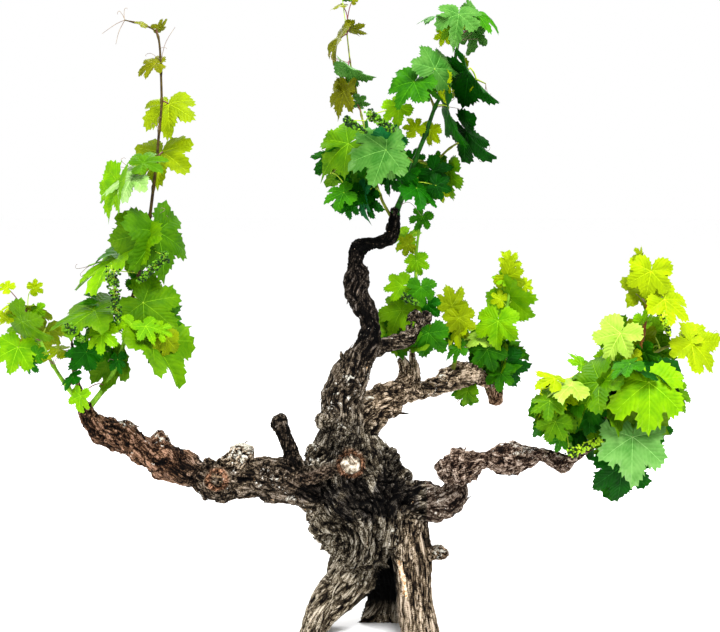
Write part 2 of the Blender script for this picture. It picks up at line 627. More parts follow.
bare = np.clip(1.35 - offStrip / ((narrow + wider * alongStrip) * mm), 0, 1)
down = gapRows[::-1]
gapLeft, gapRight = (np.interp(skin[:, 2], down[:, 0], down[:, edge]) for edge in (1, 2))
inGap = (skin[:, 0] < gapRight + 3 * mm) & (skin[:, 0] > gapLeft - 3 * mm) & (skin[:, 2] < 208 * mm)
inGap = inGap * np.clip((skin[:, 1] + 66 * mm) / (26 * mm), 0, 1) * (skin[:, 1] < 50 * mm)
cutRim = np.zeros(len(skin))
for middle, r, _ in pruningCuts:
    # a bell curve of the distance from the cut's edge
    off = np.linalg.norm((skin / mm - middle) * [1, 0.5, 1], axis=1) - r - 4
    cutRim = np.maximum(cutRim, np.exp(-((off / 7) ** 2)))
attributes = {
    "relief": relief,
    "lichen": lichen * (1 - 0.7 * cutRim),
    "warmth": np.maximum(tone[:, 0], 1.5 * cutRim),
    "shade": np.maximum(tone[:, 1], stain) * (1 - 0.8 * cutRim),
    "dark": np.clip(inGap * np.clip(skin[:, 2] / (50 * mm) - 0.1, 0, 1), 0, 1),
    "bare": bare,
    "fibre": flow,
    "bend": bend,
}
print("bark furrowed")

# bark materials

barkThreads = {  # width and reach of the fibres' threads, points averaged along them, contrast
    "broad": (4.4 * mm, 66 * mm, 17, 8.5),
    "thin": (2.1 * mm, 24 * mm, 13, 7.0),
}
bareWood = [(0.34, "#3a2a1c"), (0.44, "#c98a48"), (0.54, "#e9dcc0"), (0.70, "#f7f2e8")]
oldBarkLook = {
    "stops": [(0.12, "#040303"), (0.34, "#221c15"), (0.58, "#665b48"), (0.82, "#a2977f"), (1.0, "#cfc6b2")],
    "brown": "#e8b6a2",
    "black": "#74757e",
    "lichen": [(0.30, "#76725f"), (0.52, "#b9b5a6"), (0.68, "#efece4")],
    "bare": bareWood,
    "roughness": 0.9,
}
armBarkLook = {
    "stops": [(0.12, "#080403"), (0.34, "#2e2018"), (0.58, "#766658"), (0.82, "#ae9f90"), (1.0, "#d8cec0")],
    "brown": "#eec6b4",
    "black": "#86807c",
    "lichen": [(0.30, "#8c8478"), (0.52, "#c2bbae"), (0.68, "#efeae2")],
    "bare": bareWood,
    "roughness": 0.88,
}


def fibres(tree, place, reads, width, reach, taps, gain):
    # noise averaged at points along the curving fibre draws it out into threads of that width
    total = 0.0
    for tap in range(taps):
        shift = (tap / (taps - 1) - 0.5) * reach
        bows = [(reads["fibre"], (shift,) * 3), (reads["bend"], (0.5 * shift * shift,) * 3)]
        moved = chained(tree, place, bows, kind="VectorMath", operation="MULTIPLY_ADD")
        scale = ("Scale", 1 / width)
        noise = addNode(tree, "TexNoise", ("Vector", moved), scale, ("Detail", 1.0), output="Fac")
        total = addNode(tree, "Math", noise, total, operation="ADD")
    return addNode(tree, "Math", total, gain / taps, 0.5 - 0.5 * gain, operation="MULTIPLY_ADD")


def barkMaterial(name, look):
    # dead, stringy grapevine bark, weathered and lichened: matt, black in the furrows, grey on the ridges
    material, tree = newMaterial(name)
    reads = {
        key: addNode(tree, "Attribute", output="Fac" if values.ndim == 1 else "Vector", attribute_name=key)
        for key, values in attributes.items()
    }
    coords = addNode(tree, "TexCoord", output="Object")
    broad = fibres(tree, coords, reads, *barkThreads["broad"])
    thin = fibres(tree, coords, reads, *barkThreads["thin"])
    # dark grooves where the broad fibres' noise crosses its middle
    strands = broad
    groove = (("SUBTRACT", 0.5), ("ABSOLUTE", 0.0), ("MULTIPLY", 3.2), ("MINIMUM", 1.0), ("POWER", 0.6))
    for kind, by in groove:
        strands = addNode(tree, "Math", strands, by, operation=kind)
    # 16 mm stains and 8 mm crumbs
    patch = addNode(tree, "TexNoise", ("Vector", coords), ("Scale", 62.0), ("Detail", 3.0), output="Fac")
    crumb = (("Vector", coords), ("Scale", 130.0), ("Detail", 5.0), ("Roughness", 0.75))
    grit = addNode(tree, "TexNoise", *crumb, output="Fac")
    # furrows, threads and stains add up to how light the bark is
    light, shade = (
        addNode(tree, "Math", reads[key], chained(tree, start, [row], **adding), operation="MULTIPLY")
        for key, start, row in (("relief", 0.40, (strands, 0.60)), ("shade", 0.70, (patch, 0.5)))
    )
    light = chained(tree, light, [(thin, 0.30), (patch, 0.34)], **adding)
    light = chained(tree, -0.5805, [(light, 1.45), (reads["shade"], -0.24)], **adding)
    # lichen in crisp specks where its level and the height of the bark allow
    level = [(reads["lichen"], 0.42), (reads["relief"], 0.12), (patch, 0.50), (grit, 1.0)]
    speck, bare, black = (
        addNode(tree, "MapRange", value, low, high, interpolation_type="SMOOTHSTEP")
        for value, low, high in (
            (chained(tree, -1.14, level, **adding), 0.0, 0.035),
            (chained(tree, -0.35, [(reads["bare"], 1.0), (broad, 0.7)], **adding), 0.42, 0.56),
            (shade, 0.0, 1.0),
        )
    )
    layers = [
        (reads["warmth"], linear(look["brown"]), "MULTIPLY"),
        (black, linear(look["black"]), "MULTIPLY"),
        (speck, addNode(tree, "ValToRGB", grit, stops=look["lichen"]), "MIX"),
        (bare, addNode(tree, "ValToRGB", grit, stops=look["bare"]), "MIX"),
        (reads["dark"], linear("#020202"), "MIX"),
    ]
    colour = addNode(tree, "ValToRGB", light, stops=look["stops"])
    for much, over, kind in layers:
        colour = addNode(tree, "Mix", (0, much), (6, colour), (7, over), blend_type=kind, **mixing)
    height = chained(tree, 0.0, [(strands, 0.7), (thin, 0.4), (speck, 0.3)], **adding)
    bump = addNode(tree, "Bump", ("Height", height), ("Strength", 1.0), ("Distance", 2.6 * mm))
    finish = (("Roughness", look["roughness"]), ("Specular IOR Level", 0.06), ("Normal", bump))
    addNode(tree, "OutputMaterial", addNode(tree, "BsdfPrincipled", colour, *finish))
    return material


oldBark = barkMaterial("weatheredVineBark", oldBarkLook)
armBark = barkMaterial("shaggyVineBark", armBarkLook)


# scraps of bark: thin tapering strips that leave the wood along its fibres and lift at the end


def ribbons(paths, across, widths, thickness):
    # four corners round each point of the path: across the strip by its width, up and down by its thickness
    n, m = widths.shape
    tangent = unit(np.gradient(paths, axis=1))
    up = unit(np.cross(tangent, across[:, None]))
    side = np.cross(up, tangent)
    corners = np.array([(-1, -1), (1, -1), (1, 1), (-1, 1)])
    rings = (
        paths[:, :, None]
        + side[:, :, None] * (widths[:, :, None, None] * corners[:, :1])
        + up[:, :, None] * (thickness * corners[:, 1:])
    )
    j, c = np.arange(m - 1)[:, None] * 4, np.arange(4)
    quads = np.stack([j + c, j + (c + 1) % 4, j + 4 + (c + 1) % 4, j + 4 + c], -1).reshape(-1, 4)
    last = (m - 1) * 4
    quads = np.concatenate([quads, [[3, 2, 1, 0], [last, last + 1, last + 2, last + 3]]])
    return rings.reshape(n, -1, 3), quads


flakeRng = np.random.default_rng(23)
pick = flakeRng.choice(len(skin), bark["flakes"], replace=False)
pick = pick[(skin[pick, 2] > bark["flakesFrom"]) & (inGap[pick] < 0.3) & (stain[pick] < 0.3)]
heading = flow[pick] * np.where(flakeRng.random(len(pick)) < 0.3, 1, -1)[:, None]
flakeLong = flakeRng.uniform(*bark["flakeLength"], len(pick)) * np.clip(radius[pick] / 0.045, 0.45, 1)
rise = flakeRng.uniform(0.25, 1, len(pick)) * bark["flakeLift"] * flakeLong / bark["flakeLength"][1]
u = np.linspace(0, 1, 6)[None, :, None]
sway = np.cross(heading, barkNormal[pick]) * flakeRng.normal(0, 0.16, len(pick))[:, None]
flakePaths = (
    (skin[pick] - barkNormal[pick] * 1.4 * mm)[:, None]
    + (heading * flakeLong[:, None])[:, None] * u
    + (sway * flakeLong[:, None])[:, None] * u**2
    + (barkNormal[pick] * rise[:, None])[:, None] * u**1.7
)
flakeWide = flakeRng.uniform(*bark["flakeWidth"], len(pick))[:, None] * bark["flakeTaper"]
flakeVerts, flakeQuads = ribbons(flakePaths, np.cross(heading, barkNormal[pick]), flakeWide, 0.5 * mm)


def partAt(points):
    # the bark is parted into the trunk and its arms, each closed by a fan inside the next piece
    x, y, z = points.T / mm
    part = np.where(z < 262, 0, 1)
    part[(x < -190) & (z > 250)] = 2
    part[(x > 118) & (y < -30) & (z > 245)] = 4
    part[(z > 505) & (x < 200) & (y < 64)] = 3
    part[(y > 64) & (z > 430)] = 5
    return part


partOf, flakePart = partAt(skin[skinQuads].mean(1)), partAt(skin[pick])
barkParts = [
    ("trunkFootBark", oldBark, "old_bark", ["trunk", "low_right_stub"]),
    ("trunkNeckBark", oldBark, "old_bark", ["trunk"]),
    ("leftArmBark", oldBark, "old_bark", [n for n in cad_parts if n.startswith("left_arm")]),
    ("uprightArmBark", oldBark, "old_bark", [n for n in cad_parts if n.startswith("upright_")]),
    ("rightArmBark", armBark, "arm_bark", [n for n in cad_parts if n.startswith("right_arm")]),
    ("backArmBark", oldBark, "old_bark", [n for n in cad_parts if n.startswith("back_arm")]),
]
for part, (name, material, slot, nodes) in enumerate(barkParts):
    quads = skinQuads[partOf == part]
    used, quads = np.unique(quads, return_inverse=True)
    quads = quads.reshape(-1, 4)
    # an edge that runs only one way is on the cut
    edges = np.stack([quads, np.roll(quads, -1, axis=1)], -1).reshape(-1, 2)
    keys = edges[:, 0] * len(used) + edges[:, 1]
    cut = edges[~np.isin(edges[:, 1] * len(used) + edges[:, 0], keys)]
    extra, fans = [], []
    if len(cut):
        # the edges on each cut are gathered round seeds of its own loop
        label = np.arange(len(used))
        for _ in range(4000):
            low = np.minimum(label[cut[:, 0]], label[cut[:, 1]])
            before = label.copy()
            np.minimum.at(label, cut[:, 0], low)
            np.minimum.at(label, cut[:, 1], low)
            if (before == label).all():
                break
        for loop in np.unique(label[cut[:, 0]]):
            ring = cut[label[cut[:, 0]] == loop]
            fans.append(np.stack([ring[:, 1], ring[:, 0], np.full(len(ring), len(used) + len(extra))], -1))
            extra.append(skin[used[ring[:, 0]]].mean(0))
    tris = np.concatenate(fans) if fans else np.zeros((0, 3), dtype=int)
    mine = np.flatnonzero(flakePart == part)
    flakeBase = len(used) + len(extra) + (np.arange(len(mine)) * flakeVerts.shape[1])[:, None, None]
    flakeFaces = (flakeQuads[None] + flakeBase).reshape(-1, 4)
    allVerts = np.concatenate([skin[used], np.array(extra).reshape(-1, 3), flakeVerts[mine].reshape(-1, 3)])
    mesh = meshFrom(name, (allVerts, np.concatenate([quads, flakeFaces]), tris))
    fromFlake = np.repeat(pick[mine], flakeVerts.shape[1])
    for key, values in attributes.items():
        filler = np.zeros((len(extra),) + values.shape[1:])
        setAttribute(mesh, key, np.concatenate([values[used], filler, values[fromFlake]]))
    addPiece(name, mesh, [material], nodes)
    print(name, len(mesh.loops) - 2 * len(mesh.polygons), "triangles,", len(extra), "cuts closed")

# the faces of the pruning cuts: low domes with growth rings and cracks

cutShapes, cutDetail = [], []
for (x, y, z), r, brown in pruningCuts:
    rise = np.array([12.0, 2.0, 0.5, -0.8, -1.6]) * mm
    path = np.array([x, y, z]) * mm + np.outer(rise, [0, 1, 0])
    dome = np.array([[1.0, 1.0, 0.93, 0.66, 0.25]]) * (r + 1.0) * mm
    verts, quads, tris = tubes(path[None], dome, 30, 0.05)
    local = (verts - np.array([x, y, z]) * mm) / (r * mm)
    verts = verts + local * [1, 0, 1] * (2.4 * mm * noiseAt(local * 2.3, 5.0))[:, None]
    cutShapes.append((verts, quads, tris))
    cutDetail.append(np.stack([local[:, 0], local[:, 2], np.full(len(verts), brown)], -1))
cutMaterial, tree = newMaterial("weatheredCutWood")
# end grain gone pale grey, with brown growth rings and black cracks
cutRead = addNode(tree, "Attribute", output="Vector", attribute_name="cutFace")
cutParts = addNode(tree, "SeparateXYZ", cutRead).node.outputs
cutPlane = addNode(tree, "CombineXYZ", cutParts["X"], cutParts["Y"])
cutWaves = (("Vector", cutPlane), ("Scale", 2.6), ("Distortion", 3.2), ("Detail Scale", 2.2))
cutRings = addNode(tree, "TexWave", *cutWaves, output="Fac", wave_type="RINGS", rings_direction="SPHERICAL")
cutBlotch = addNode(tree, "TexNoise", ("Vector", cutPlane), ("Scale", 2.0), ("Detail", 5.0), output="Fac")
cutLight = chained(tree, -1.25, [(cutRings, 0.30), (cutBlotch, 3.2)], **adding)
cutStops = [(0.05, "#2e241c"), (0.34, "#6a5c48"), (0.62, "#aaa18f"), (0.98, "#dcd6ca")]
cutGrey = addNode(tree, "ValToRGB", cutLight, stops=cutStops)
cutBrown = ((0, cutParts["Z"]), (6, cutGrey), (7, linear("#d9b58a")))
cutColour = addNode(tree, "Mix", *cutBrown, blend_type="MULTIPLY", **mixing)
cutBump = addNode(tree, "Bump", ("Height", cutLight), ("Strength", 0.7), ("Distance", 0.8 * mm))
cutShader = addNode(tree, "BsdfPrincipled", cutColour, ("Roughness", 0.85), ("Normal", cutBump))
addNode(tree, "OutputMaterial", cutShader)
cutMesh = meshFrom("pruningCuts", joined(cutShapes))
setAttribute(cutMesh, "cutFace", np.concatenate(cutDetail))
addPiece("pruningCuts", cutMesh, [cutMaterial], ())

# shoots: routes in millimetres, with the tint of each

shootRoutes = {
    "left_tall_shoot": (
        "green", [(-630, -4, 500, 7), (-574, -4, 578, 5.5), (-546, -4, 652, 4.8), (-524, -4, 754, 4.2)],
    ),
    "left_tall_shoot_upper": (
        "brown",
        [
            (-525, -4, 748, 4.2), (-494, -8, 878, 3.8), (-474, -10, 986, 3.4), (-462, -12, 1082, 3.0),
            (-454, -12, 1156, 2.8), (-452, -12, 1258, 2.4),
        ],
    ),
    "left_shoot_tip": (
        "brown",
        [(-452, -12, 1250, 2.4), (-460, -12, 1316, 2.2), (-490, -12, 1336, 2), (-528, -12, 1346, 1.4)],
    ),
    "cut_green_stub": ("deep", [(-4, -20, 1086, 4), (-10, -26, 1108, 4), (-14, -30, 1132, 4)]),
    "left_low_shoot": (
        "green", [(-636, -2, 502, 7), (-680, 10, 554, 5), (-718, 30, 608, 4), (-768, 50, 690, 3)],
    ),
    "top_main_shoot": (
        "deep",
        [
            (52, 26, 934, 8), (70, 22, 982, 6), (92, 10, 1044, 5), (112, 0, 1098, 5), (138, -14, 1168, 4),
            (166, -18, 1216, 4), (184, -22, 1300, 3),
        ],
    ),
    "top_slim_shoot": (
        "olive",
        [
            (46, 27, 922, 4), (18, 44, 972, 3.2), (-2, 64, 1052, 2.6), (-20, 80, 1140, 2.2),
            (-42, 96, 1236, 1.8), (-56, 104, 1330, 1.5),
        ],
    ),
    "centre_back_shoot": (
        "green", [(106, 68, 706, 5), (100, 84, 792, 4), (104, 96, 872, 3), (112, 100, 925, 3)],
    ),
    "back_inner_shoot": ("olive", [(196, 246, 540, 6), (212, 258, 624, 4), (212, 264, 720, 3)]),
    "back_outer_shoot": (
        "green", [(264, 302, 528, 6), (296, 316, 592, 4), (332, 324, 678, 4), (350, 336, 770, 3)],
    ),
    "right_main_shoot": (
        "red",
        [
            (448, -233, 470, 7), (486, -240, 544, 5), (520, -240, 616, 4), (538, -236, 676, 4),
            (554, -224, 790, 3),
        ],
    ),
    "right_low_shoot": ("green", [(408, -206, 444, 6), (388, -224, 522, 4), (376, -236, 590, 3)]),
}
canes = {
    "nodeEvery": 62 * mm,  # between the swollen nodes
    "swelling": 0.45,
    "kink": 1.6 * mm,
    "lateralRadius": 2.4 * mm,
    "purpleShare": 0.25,  # of the leaf stalks
}
caneTints = {  # light side, shaded side
    "green": ("#7fae2a", "#4f7f14"),
    "olive": ("#7d8a2c", "#4a4a18"),
    "brown": ("#463a12", "#1e1208"),
    "deep": ("#1c560a", "#082c04"),
    "red": ("#7a4a1c", "#4a2410"),
    "petiole": ("#b4cf3a", "#7f9f20"),
    "purplePetiole": ("#7d4a4a", "#5a2c34"),
    "tendril": ("#8a7a62", "#5f4a4a"),
}


def stemMaterial(name, tints):
    # young grape cane: smooth green rind, faintly mottled, with a soft waxy shine
    material, tree = newMaterial(name)
    coords = addNode(tree, "TexCoord", output="Object")
    mottle = addNode(tree, "TexNoise", ("Vector", coords), ("Scale", 90.0), ("Detail", 3.0), output="Fac")
    colour = addNode(tree, "ValToRGB", mottle, stops=[(0.3, tints[1]), (0.65, tints[0])])
    shader = addNode(tree, "BsdfPrincipled", colour, ("Roughness", 0.55), ("Specular IOR Level", 0.12))
    addNode(tree, "OutputMaterial", shader)
    return material


stemShapes = {tint: [] for tint in caneTints}
stemNodes = {tint: set() for tint in caneTints}
nodePoints, nodeDirections = [], []


def addCane(tint, path):
    # a cane swells at its nodes and kinks a little from one to the next
    steps = np.linalg.norm(np.diff(path[:, :3], axis=0), axis=1)
    along = np.concatenate([[0], np.cumsum(steps)])
    phase = along / canes["nodeEvery"]
    swell = np.exp(-(((phase + 0.5) % 1 - 0.5) ** 2) / 0.006)
    side = unit(np.cross(unit(path[-1, :3] - path[0, :3]), [0, 1, 0.2]))
    kinked = path.copy()
    kinked[:, :3] += side * (np.abs((phase % 2) - 1) - 0.5)[:, None] * canes["kink"]
    kinked[:, 3] *= 1 + canes["swelling"] * swell
    stemShapes[tint].append(tubes(kinked[None, :, :3], kinked[None, :, 3], 10))
    spots = np.interp(np.arange(1, int(phase[-1]) + 1), phase, np.arange(len(path)))
    spots = np.append(spots, len(path) - 1).astype(int)
    nodePoints.extend(kinked[spots, :3])
    nodeDirections.extend(unit(np.gradient(kinked[:, :3], axis=0))[spots])


for name, (tint, route) in shootRoutes.items():
    route = np.array(route, dtype=float) * mm
    length = np.linalg.norm(np.diff(route[:, :3], axis=0), axis=1).sum()
    addCane(tint, smoothPath(route, int(length / (5 * mm))))
    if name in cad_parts:
        stemNodes[tint].add(name)

# leaves

# each leaf's place in its mass's box (across, back, up), length in mm, turn of its tip clockwise from up,
# roll about its tip and upward pitch of its face, tint, and its fold if it is a folded one
heroLeaves = {
    "left_low_mass": [
        (0.19, 0.3, 0.92, 24, 300, 10, 20, "neon"), (0.36, 0.2, 0.76, 34, 262, 40, 20, "neon"),
        (0.70, 0.3, 0.70, 30, 170, 30, 10, "fresh"), (0.20, 0.2, 0.62, 30, 250, 30, 10, "neon"),
        (0.51, 0.1, 0.60, 76, 130, 58, 10, "lime", 0.2), (0.42, 0.1, 0.34, 58, 192, -22, 30, "fresh"),
        (0.74, 0.1, 0.27, 26, 110, 30, 30, "grass"), (0.36, 0.8, 0.17, 42, 200, 40, 0, "mid"),
        (0.55, 0.6, 0.90, 24, 60, 30, 20, "neon"), (0.30, 0.5, 0.48, 44, 240, 40, 20, "fresh"),
    ],
    "left_head_mass": [
        (0.64, 0.3, 0.81, 104, 262, 60, 0, "lime", 0.15), (0.72, 0.5, 0.84, 54, 318, 45, 10, "grass"),
        (0.77, 0.1, 0.65, 46, 182, 20, 25, "fresh"), (0.52, 0.3, 0.48, 50, 215, -30, 20, "mid"),
        (0.88, 0.4, 0.41, 32, 172, 20, 10, "mid"), (0.20, 0.3, 0.50, 36, 268, 66, 0, "young"),
        (0.38, 0.2, 0.29, 36, 255, 50, 10, "mid"), (0.49, 0.1, 0.15, 38, 190, 20, 10, "fresh"),
        (0.70, 0.5, 0.50, 42, 150, -50, 10, "grass"), (0.66, 0.2, 0.66, 30, 240, 30, 20, "lime"),
    ],
    "left_head_right_mass": [
        (0.37, 0.3, 0.74, 92, 122, -32, 8, "lime"), (0.24, 0.1, 0.58, 34, 215, -20, 30, "fresh"),
        (0.45, 0.1, 0.56, 40, 148, -25, 20, "fresh"), (0.70, 0.3, 0.44, 46, 172, -45, 5, "young"),
        (0.48, 0.3, 0.42, 118, 143, -68, 0, "lime", 0.3), (0.12, 0.6, 0.52, 42, 190, 30, 10, "grass"),
        (0.20, 0.6, 0.88, 38, 20, 40, 10, "grass"), (0.62, 0.2, 0.52, 30, 110, 0, 30, "fresh"),
    ],
    "left_drooping_mass": [
        (0.89, 0.4, 0.75, 54, 275, 52, 10, "sage"), (0.84, 0.3, 0.67, 112, 236, 66, 0, "fresh", 0.2),
    ],
    "left_shoot_mass_low": [
        (0.45, 0.3, 0.56, 84, 208, 40, 5, "lime"), (0.60, 0.3, 0.60, 108, 160, -46, 5, "moss"),
        (0.50, 0.2, 0.40, 24, 100, 0, 30, "fresh"),
    ],
    "left_shoot_mass_mid": [
        (0.69, 0.8, 0.73, 86, 182, 5, 36, "young"), (0.46, 0.15, 0.38, 64, 244, 36, 24, "pale"),
        (0.56, 0.2, 0.56, 54, 72, -40, 20, "moss"), (0.30, 0.2, 0.30, 84, 200, 56, 0, "fresh", 0.2),
    ],
    "left_shoot_mass_high": [
        (0.47, 0.8, 0.62, 72, 174, 0, 44, "young"),
    ],
    "left_shoot_mass_top": [
        (0.69, 0.4, 0.54, 44, 262, 40, 10, "olive"), (0.80, 0.4, 1.52, 24, 70, 62, 0, "olive"),
        (0.30, 0.4, 1.60, 22, 300, 60, 0, "olive"),
    ],
    "top_slim_tip_mass": [
        (0.34, 0.4, 0.90, 27, 262, 72, 0, "olive"), (0.58, 0.4, 0.56, 36, 118, 62, 0, "olive"),
        (0.29, 0.4, 0.41, 64, 205, 74, 0, "olive", 0.3), (0.62, 0.4, 0.98, 14, 40, 0, 0, "olive"),
    ],
    "top_slim_mass": [
        (0.44, 0.3, 0.96, 60, 127, 80, 0, "sage", 0.4), (0.36, 0.4, 0.59, 62, 202, 52, 0, "olive"),
        (0.60, 0.4, 0.45, 28, 110, 50, 0, "sage"), (0.40, 0.6, 0.62, 34, 330, 40, 0, "olive"),
    ],
    "top_crown_mass": [
        (0.50, 0.2, 0.74, 58, 190, 8, 30, "sage"), (0.25, 0.3, 0.72, 44, 268, 68, 5, "sage"),
        (0.74, 0.4, 0.76, 50, 100, -60, 5, "grass"), (0.43, 0.3, 0.50, 36, 186, 30, 0, "lime"),
        (0.35, 0.6, 0.42, 26, 200, 0, 10, "neon"), (0.66, 0.6, 0.86, 36, 30, 50, 20, "sage"),
    ],
    "top_right_mass": [
        (0.32, 0.2, 0.68, 94, 145, 80, 5, "deep", 0.4), (0.26, 0.8, 0.66, 62, 172, 68, 0, "young", 0.3),
    ],
    "top_middle_mass": [
        (0.70, 0.1, 0.68, 64, 26, 30, 16, "sage"), (0.38, 0.1, 0.53, 66, 214, 20, 20, "grass"),
        (0.62, 0.4, 0.50, 34, 150, 50, 10, "grass"), (0.80, 0.3, 0.56, 46, 188, 50, 0, "neon"),
        (0.16, 0.4, 0.27, 46, 235, 30, 10, "fresh"), (0.42, 0.6, 0.02, 30, 330, 0, 0, "neon"),
        (0.68, 0.7, 0.02, 34, 200, 30, 0, "neon"),
    ],
    "top_right_low_mass": [
        (0.42, 0.3, 0.74, 84, 148, 70, 5, "deep", 0.3), (0.04, 0.3, 1.20, 84, 168, 84, 0, "mid", 0.3),
    ],
    "top_left_mass": [
        (0.68, 0.3, 0.75, 84, 238, 34, 8, "lime"), (0.85, 0.3, 0.31, 62, 260, 24, 20, "mid"),
        (0.69, 0.4, 0.20, 34, 190, 20, 0, "mid"), (0.96, 0.3, 0.30, 58, 195, 68, 0, "teal"),
        (0.72, 0.6, 0.42, 36, 330, 30, 10, "mid"), (0.60, 0.1, 0.30, 46, 250, 30, 10, "grass"),
    ],
    "top_front_mass": [
        (0.60, 0.1, 0.65, 84, 252, -8, 36, "sage"), (0.62, 0.2, 0.72, 54, 74, 20, 24, "teal"),
        (0.60, 0.15, 0.62, 54, 172, 10, 20, "sage"), (0.74, 0.8, 0.83, 34, 15, 40, 0, "deep"),
        (0.32, 0.5, 0.00, 44, 178, 50, 0, "deep"), (0.70, 0.6, 0.32, 42, 200, 30, 0, "deep"),
        (0.20, 0.8, 0.20, 32, 150, 30, 0, "grass"), (0.86, 0.5, 0.40, 40, 170, 40, 0, "deep"),
    ],
    "top_low_right_mass": [
        (0.25, 0.7, 0.57, 32, 70, 30, 10, "mid"), (0.57, 0.3, 0.45, 46, 130, 30, 10, "deep"),
        (0.84, 0.4, 0.45, 62, 178, 64, 0, "lime"), (0.70, 0.5, 0.25, 30, 170, 30, 0, "young"),
        (0.68, 0.5, 0.55, 24, 0, 0, 0, "grass"), (0.15, 0.3, 0.40, 36, 190, 30, 10, "mid"),
        (0.28, 0.2, 0.27, 60, 122, -40, 20, "mid"), (0.50, 0.7, 0.86, 26, 30, 0, 0, "neon"),
        (0.62, 0.2, 0.30, 36, 110, 20, 20, "deep"),
    ],
    "centre_back_mass": [
        (0.44, 0.3, 0.72, 42, 265, 10, 10, "fresh"), (0.74, 0.2, 0.71, 44, 175, 0, 10, "grass"),
        (0.44, 0.3, 0.47, 60, 215, 10, 10, "lime"), (0.87, 0.3, 0.24, 62, 190, 10, 5, "grass"),
        (0.86, 0.6, 0.51, 40, 180, 0, 0, "mid"), (0.14, 0.8, 0.30, 36, 200, 0, 0, "mint"),
    ],
    "centre_back_tip_mass": [
        (0.40, 0.4, 0.40, 30, 255, 0, 0, "young"), (0.74, 0.4, 0.92, 34, 200, 0, 0, "grass"),
        (0.60, 0.2, 0.10, 36, 165, 0, 5, "fresh"),
    ],
    "back_inner_mass": [
        (0.27, 0.3, 0.73, 56, 35, 20, 0, "young"), (0.48, 0.2, 0.61, 50, 172, 10, 5, "young"),
        (0.50, 0.4, 0.48, 52, 215, 70, 0, "neon"), (0.50, 0.2, 0.29, 36, 250, 40, 0, "grass"),
    ],
    "back_tip_mass": [
        (0.37, 0.4, 0.84, 26, 320, 0, 0, "neon"), (0.40, 0.3, 0.79, 34, 35, 0, 0, "neon"),
        (0.33, 0.3, 0.64, 50, 120, 20, 10, "neon"), (0.30, 0.4, 0.62, 30, 285, 0, 20, "fresh"),
        (0.82, 0.5, 0.52, 24, 60, 0, 0, "neon"), (0.85, 0.5, 0.40, 22, 110, 0, 0, "neon"),
        (0.18, 0.4, 0.36, 28, 300, 0, 0, "neon"), (0.40, 0.5, 0.40, 84, 145, 55, 10, "fresh", 0.3),
    ],
    "back_outer_mass": [
        (0.49, 0.0, 0.77, 68, 186, 8, 10, "fresh"), (0.27, 0.2, 0.60, 50, 280, 55, 0, "mint"),
        (0.33, 0.1, 0.46, 56, 165, 0, 10, "grass"), (0.65, 0.4, 0.28, 66, 150, 10, 0, "deep"),
        (0.58, 0.3, 0.20, 48, 190, 0, 0, "grass"),
    ],
    "back_under_mass": [(0.54, 0.2, 0.70, 40, 190, 0, 0, "lime"), (0.20, 0.3, 0.80, 26, 210, 0, 0, "grass")],
    "right_top_mass": [
        (0.51, 0.2, 0.63, 58, 190, 5, 8, "neon"), (0.35, 0.4, 0.85, 24, 25, 40, 0, "young"),
    ],
    "right_upper_mass": [
        (0.70, 0.2, 0.92, 62, 126, -24, 8, "neon"), (0.26, 0.2, 0.52, 62, 212, 40, 20, "mint"),
        (0.50, 0.3, 0.62, 34, 60, 40, 10, "fresh"), (0.38, 0.1, 0.28, 24, 180, 0, 0, "neon"),
        (0.64, 0.8, 0.46, 60, 175, 20, 5, "lime"), (0.26, 0.4, 0.32, 58, 210, 50, 10, "fresh", 0.2),
        (0.70, 0.7, 0.26, 50, 150, 30, 10, "lime"), (0.50, 0.15, 0.30, 40, 160, 60, 10, "grass"),
    ],
    "right_far_mass": [
        (0.40, 0.3, 0.66, 72, 132, -36, 8, "neon"), (0.30, 0.4, 0.70, 36, 35, -30, 5, "neon"),
    ],
    "right_front_mass": [
        (0.49, 0.1, 0.66, 92, 183, 0, 26, "fresh"), (0.68, 0.6, 0.42, 56, 120, 30, 10, "lime"),
        (0.40, 0.8, 0.34, 50, 200, 30, 0, "deep"), (0.22, 0.7, 0.42, 50, 220, 40, 10, "mid"),
        (0.30, 0.2, 0.86, 44, 250, 40, 20, "grass"), (0.84, 0.4, 0.50, 46, 150, -40, 10, "lime"),
    ],
    "right_left_mass": [
        (0.53, 0.2, 0.73, 62, 264, 42, 20, "mint"), (0.40, 0.3, 0.62, 56, 240, 36, 20, "neon"),
        (0.40, 0.3, 0.46, 56, 205, 24, 10, "lime"), (0.44, 0.4, 0.12, 30, 205, 20, 0, "grass"),
        (0.90, 0.1, 0.78, 92, 222, 70, 0, "lime", 0.35), (0.74, 0.7, 0.50, 56, 200, 30, 0, "deep"),
        (0.60, 0.8, 0.36, 50, 170, 30, 0, "deep"), (0.75, 0.6, 0.90, 40, 320, 40, 20, "fresh"),
        (0.66, 0.3, 0.60, 54, 235, 55, 10, "grass"), (0.30, 0.2, 0.80, 40, 300, 40, 20, "neon"),
        (0.86, 0.5, 0.34, 44, 190, 20, 0, "mid"), (0.22, 0.1, 0.58, 44, 240, 20, 10, "lime"),
        (0.30, 0.1, 0.36, 44, 205, 12, 10, "lime"),
    ],
    "right_low_mass": [
        (0.44, 0.1, 0.96, 84, 186, 0, 40, "greyGreen"), (0.38, 0.4, 0.50, 78, 184, 8, 0, "deep"),
        (0.15, 0.5, 0.82, 36, 250, 30, 0, "lime"), (0.80, 0.6, 1.05, 44, 110, -30, 20, "mid"),
        (0.40, 0.7, 0.84, 42, 165, -30, 0, "deep"),
    ],
    "right_rear_mass": [(0.54, 0.1, 0.55, 60, 185, 0, 0, "mid"), (0.30, 0.2, 0.60, 60, 200, 0, 0, "deep")],
}

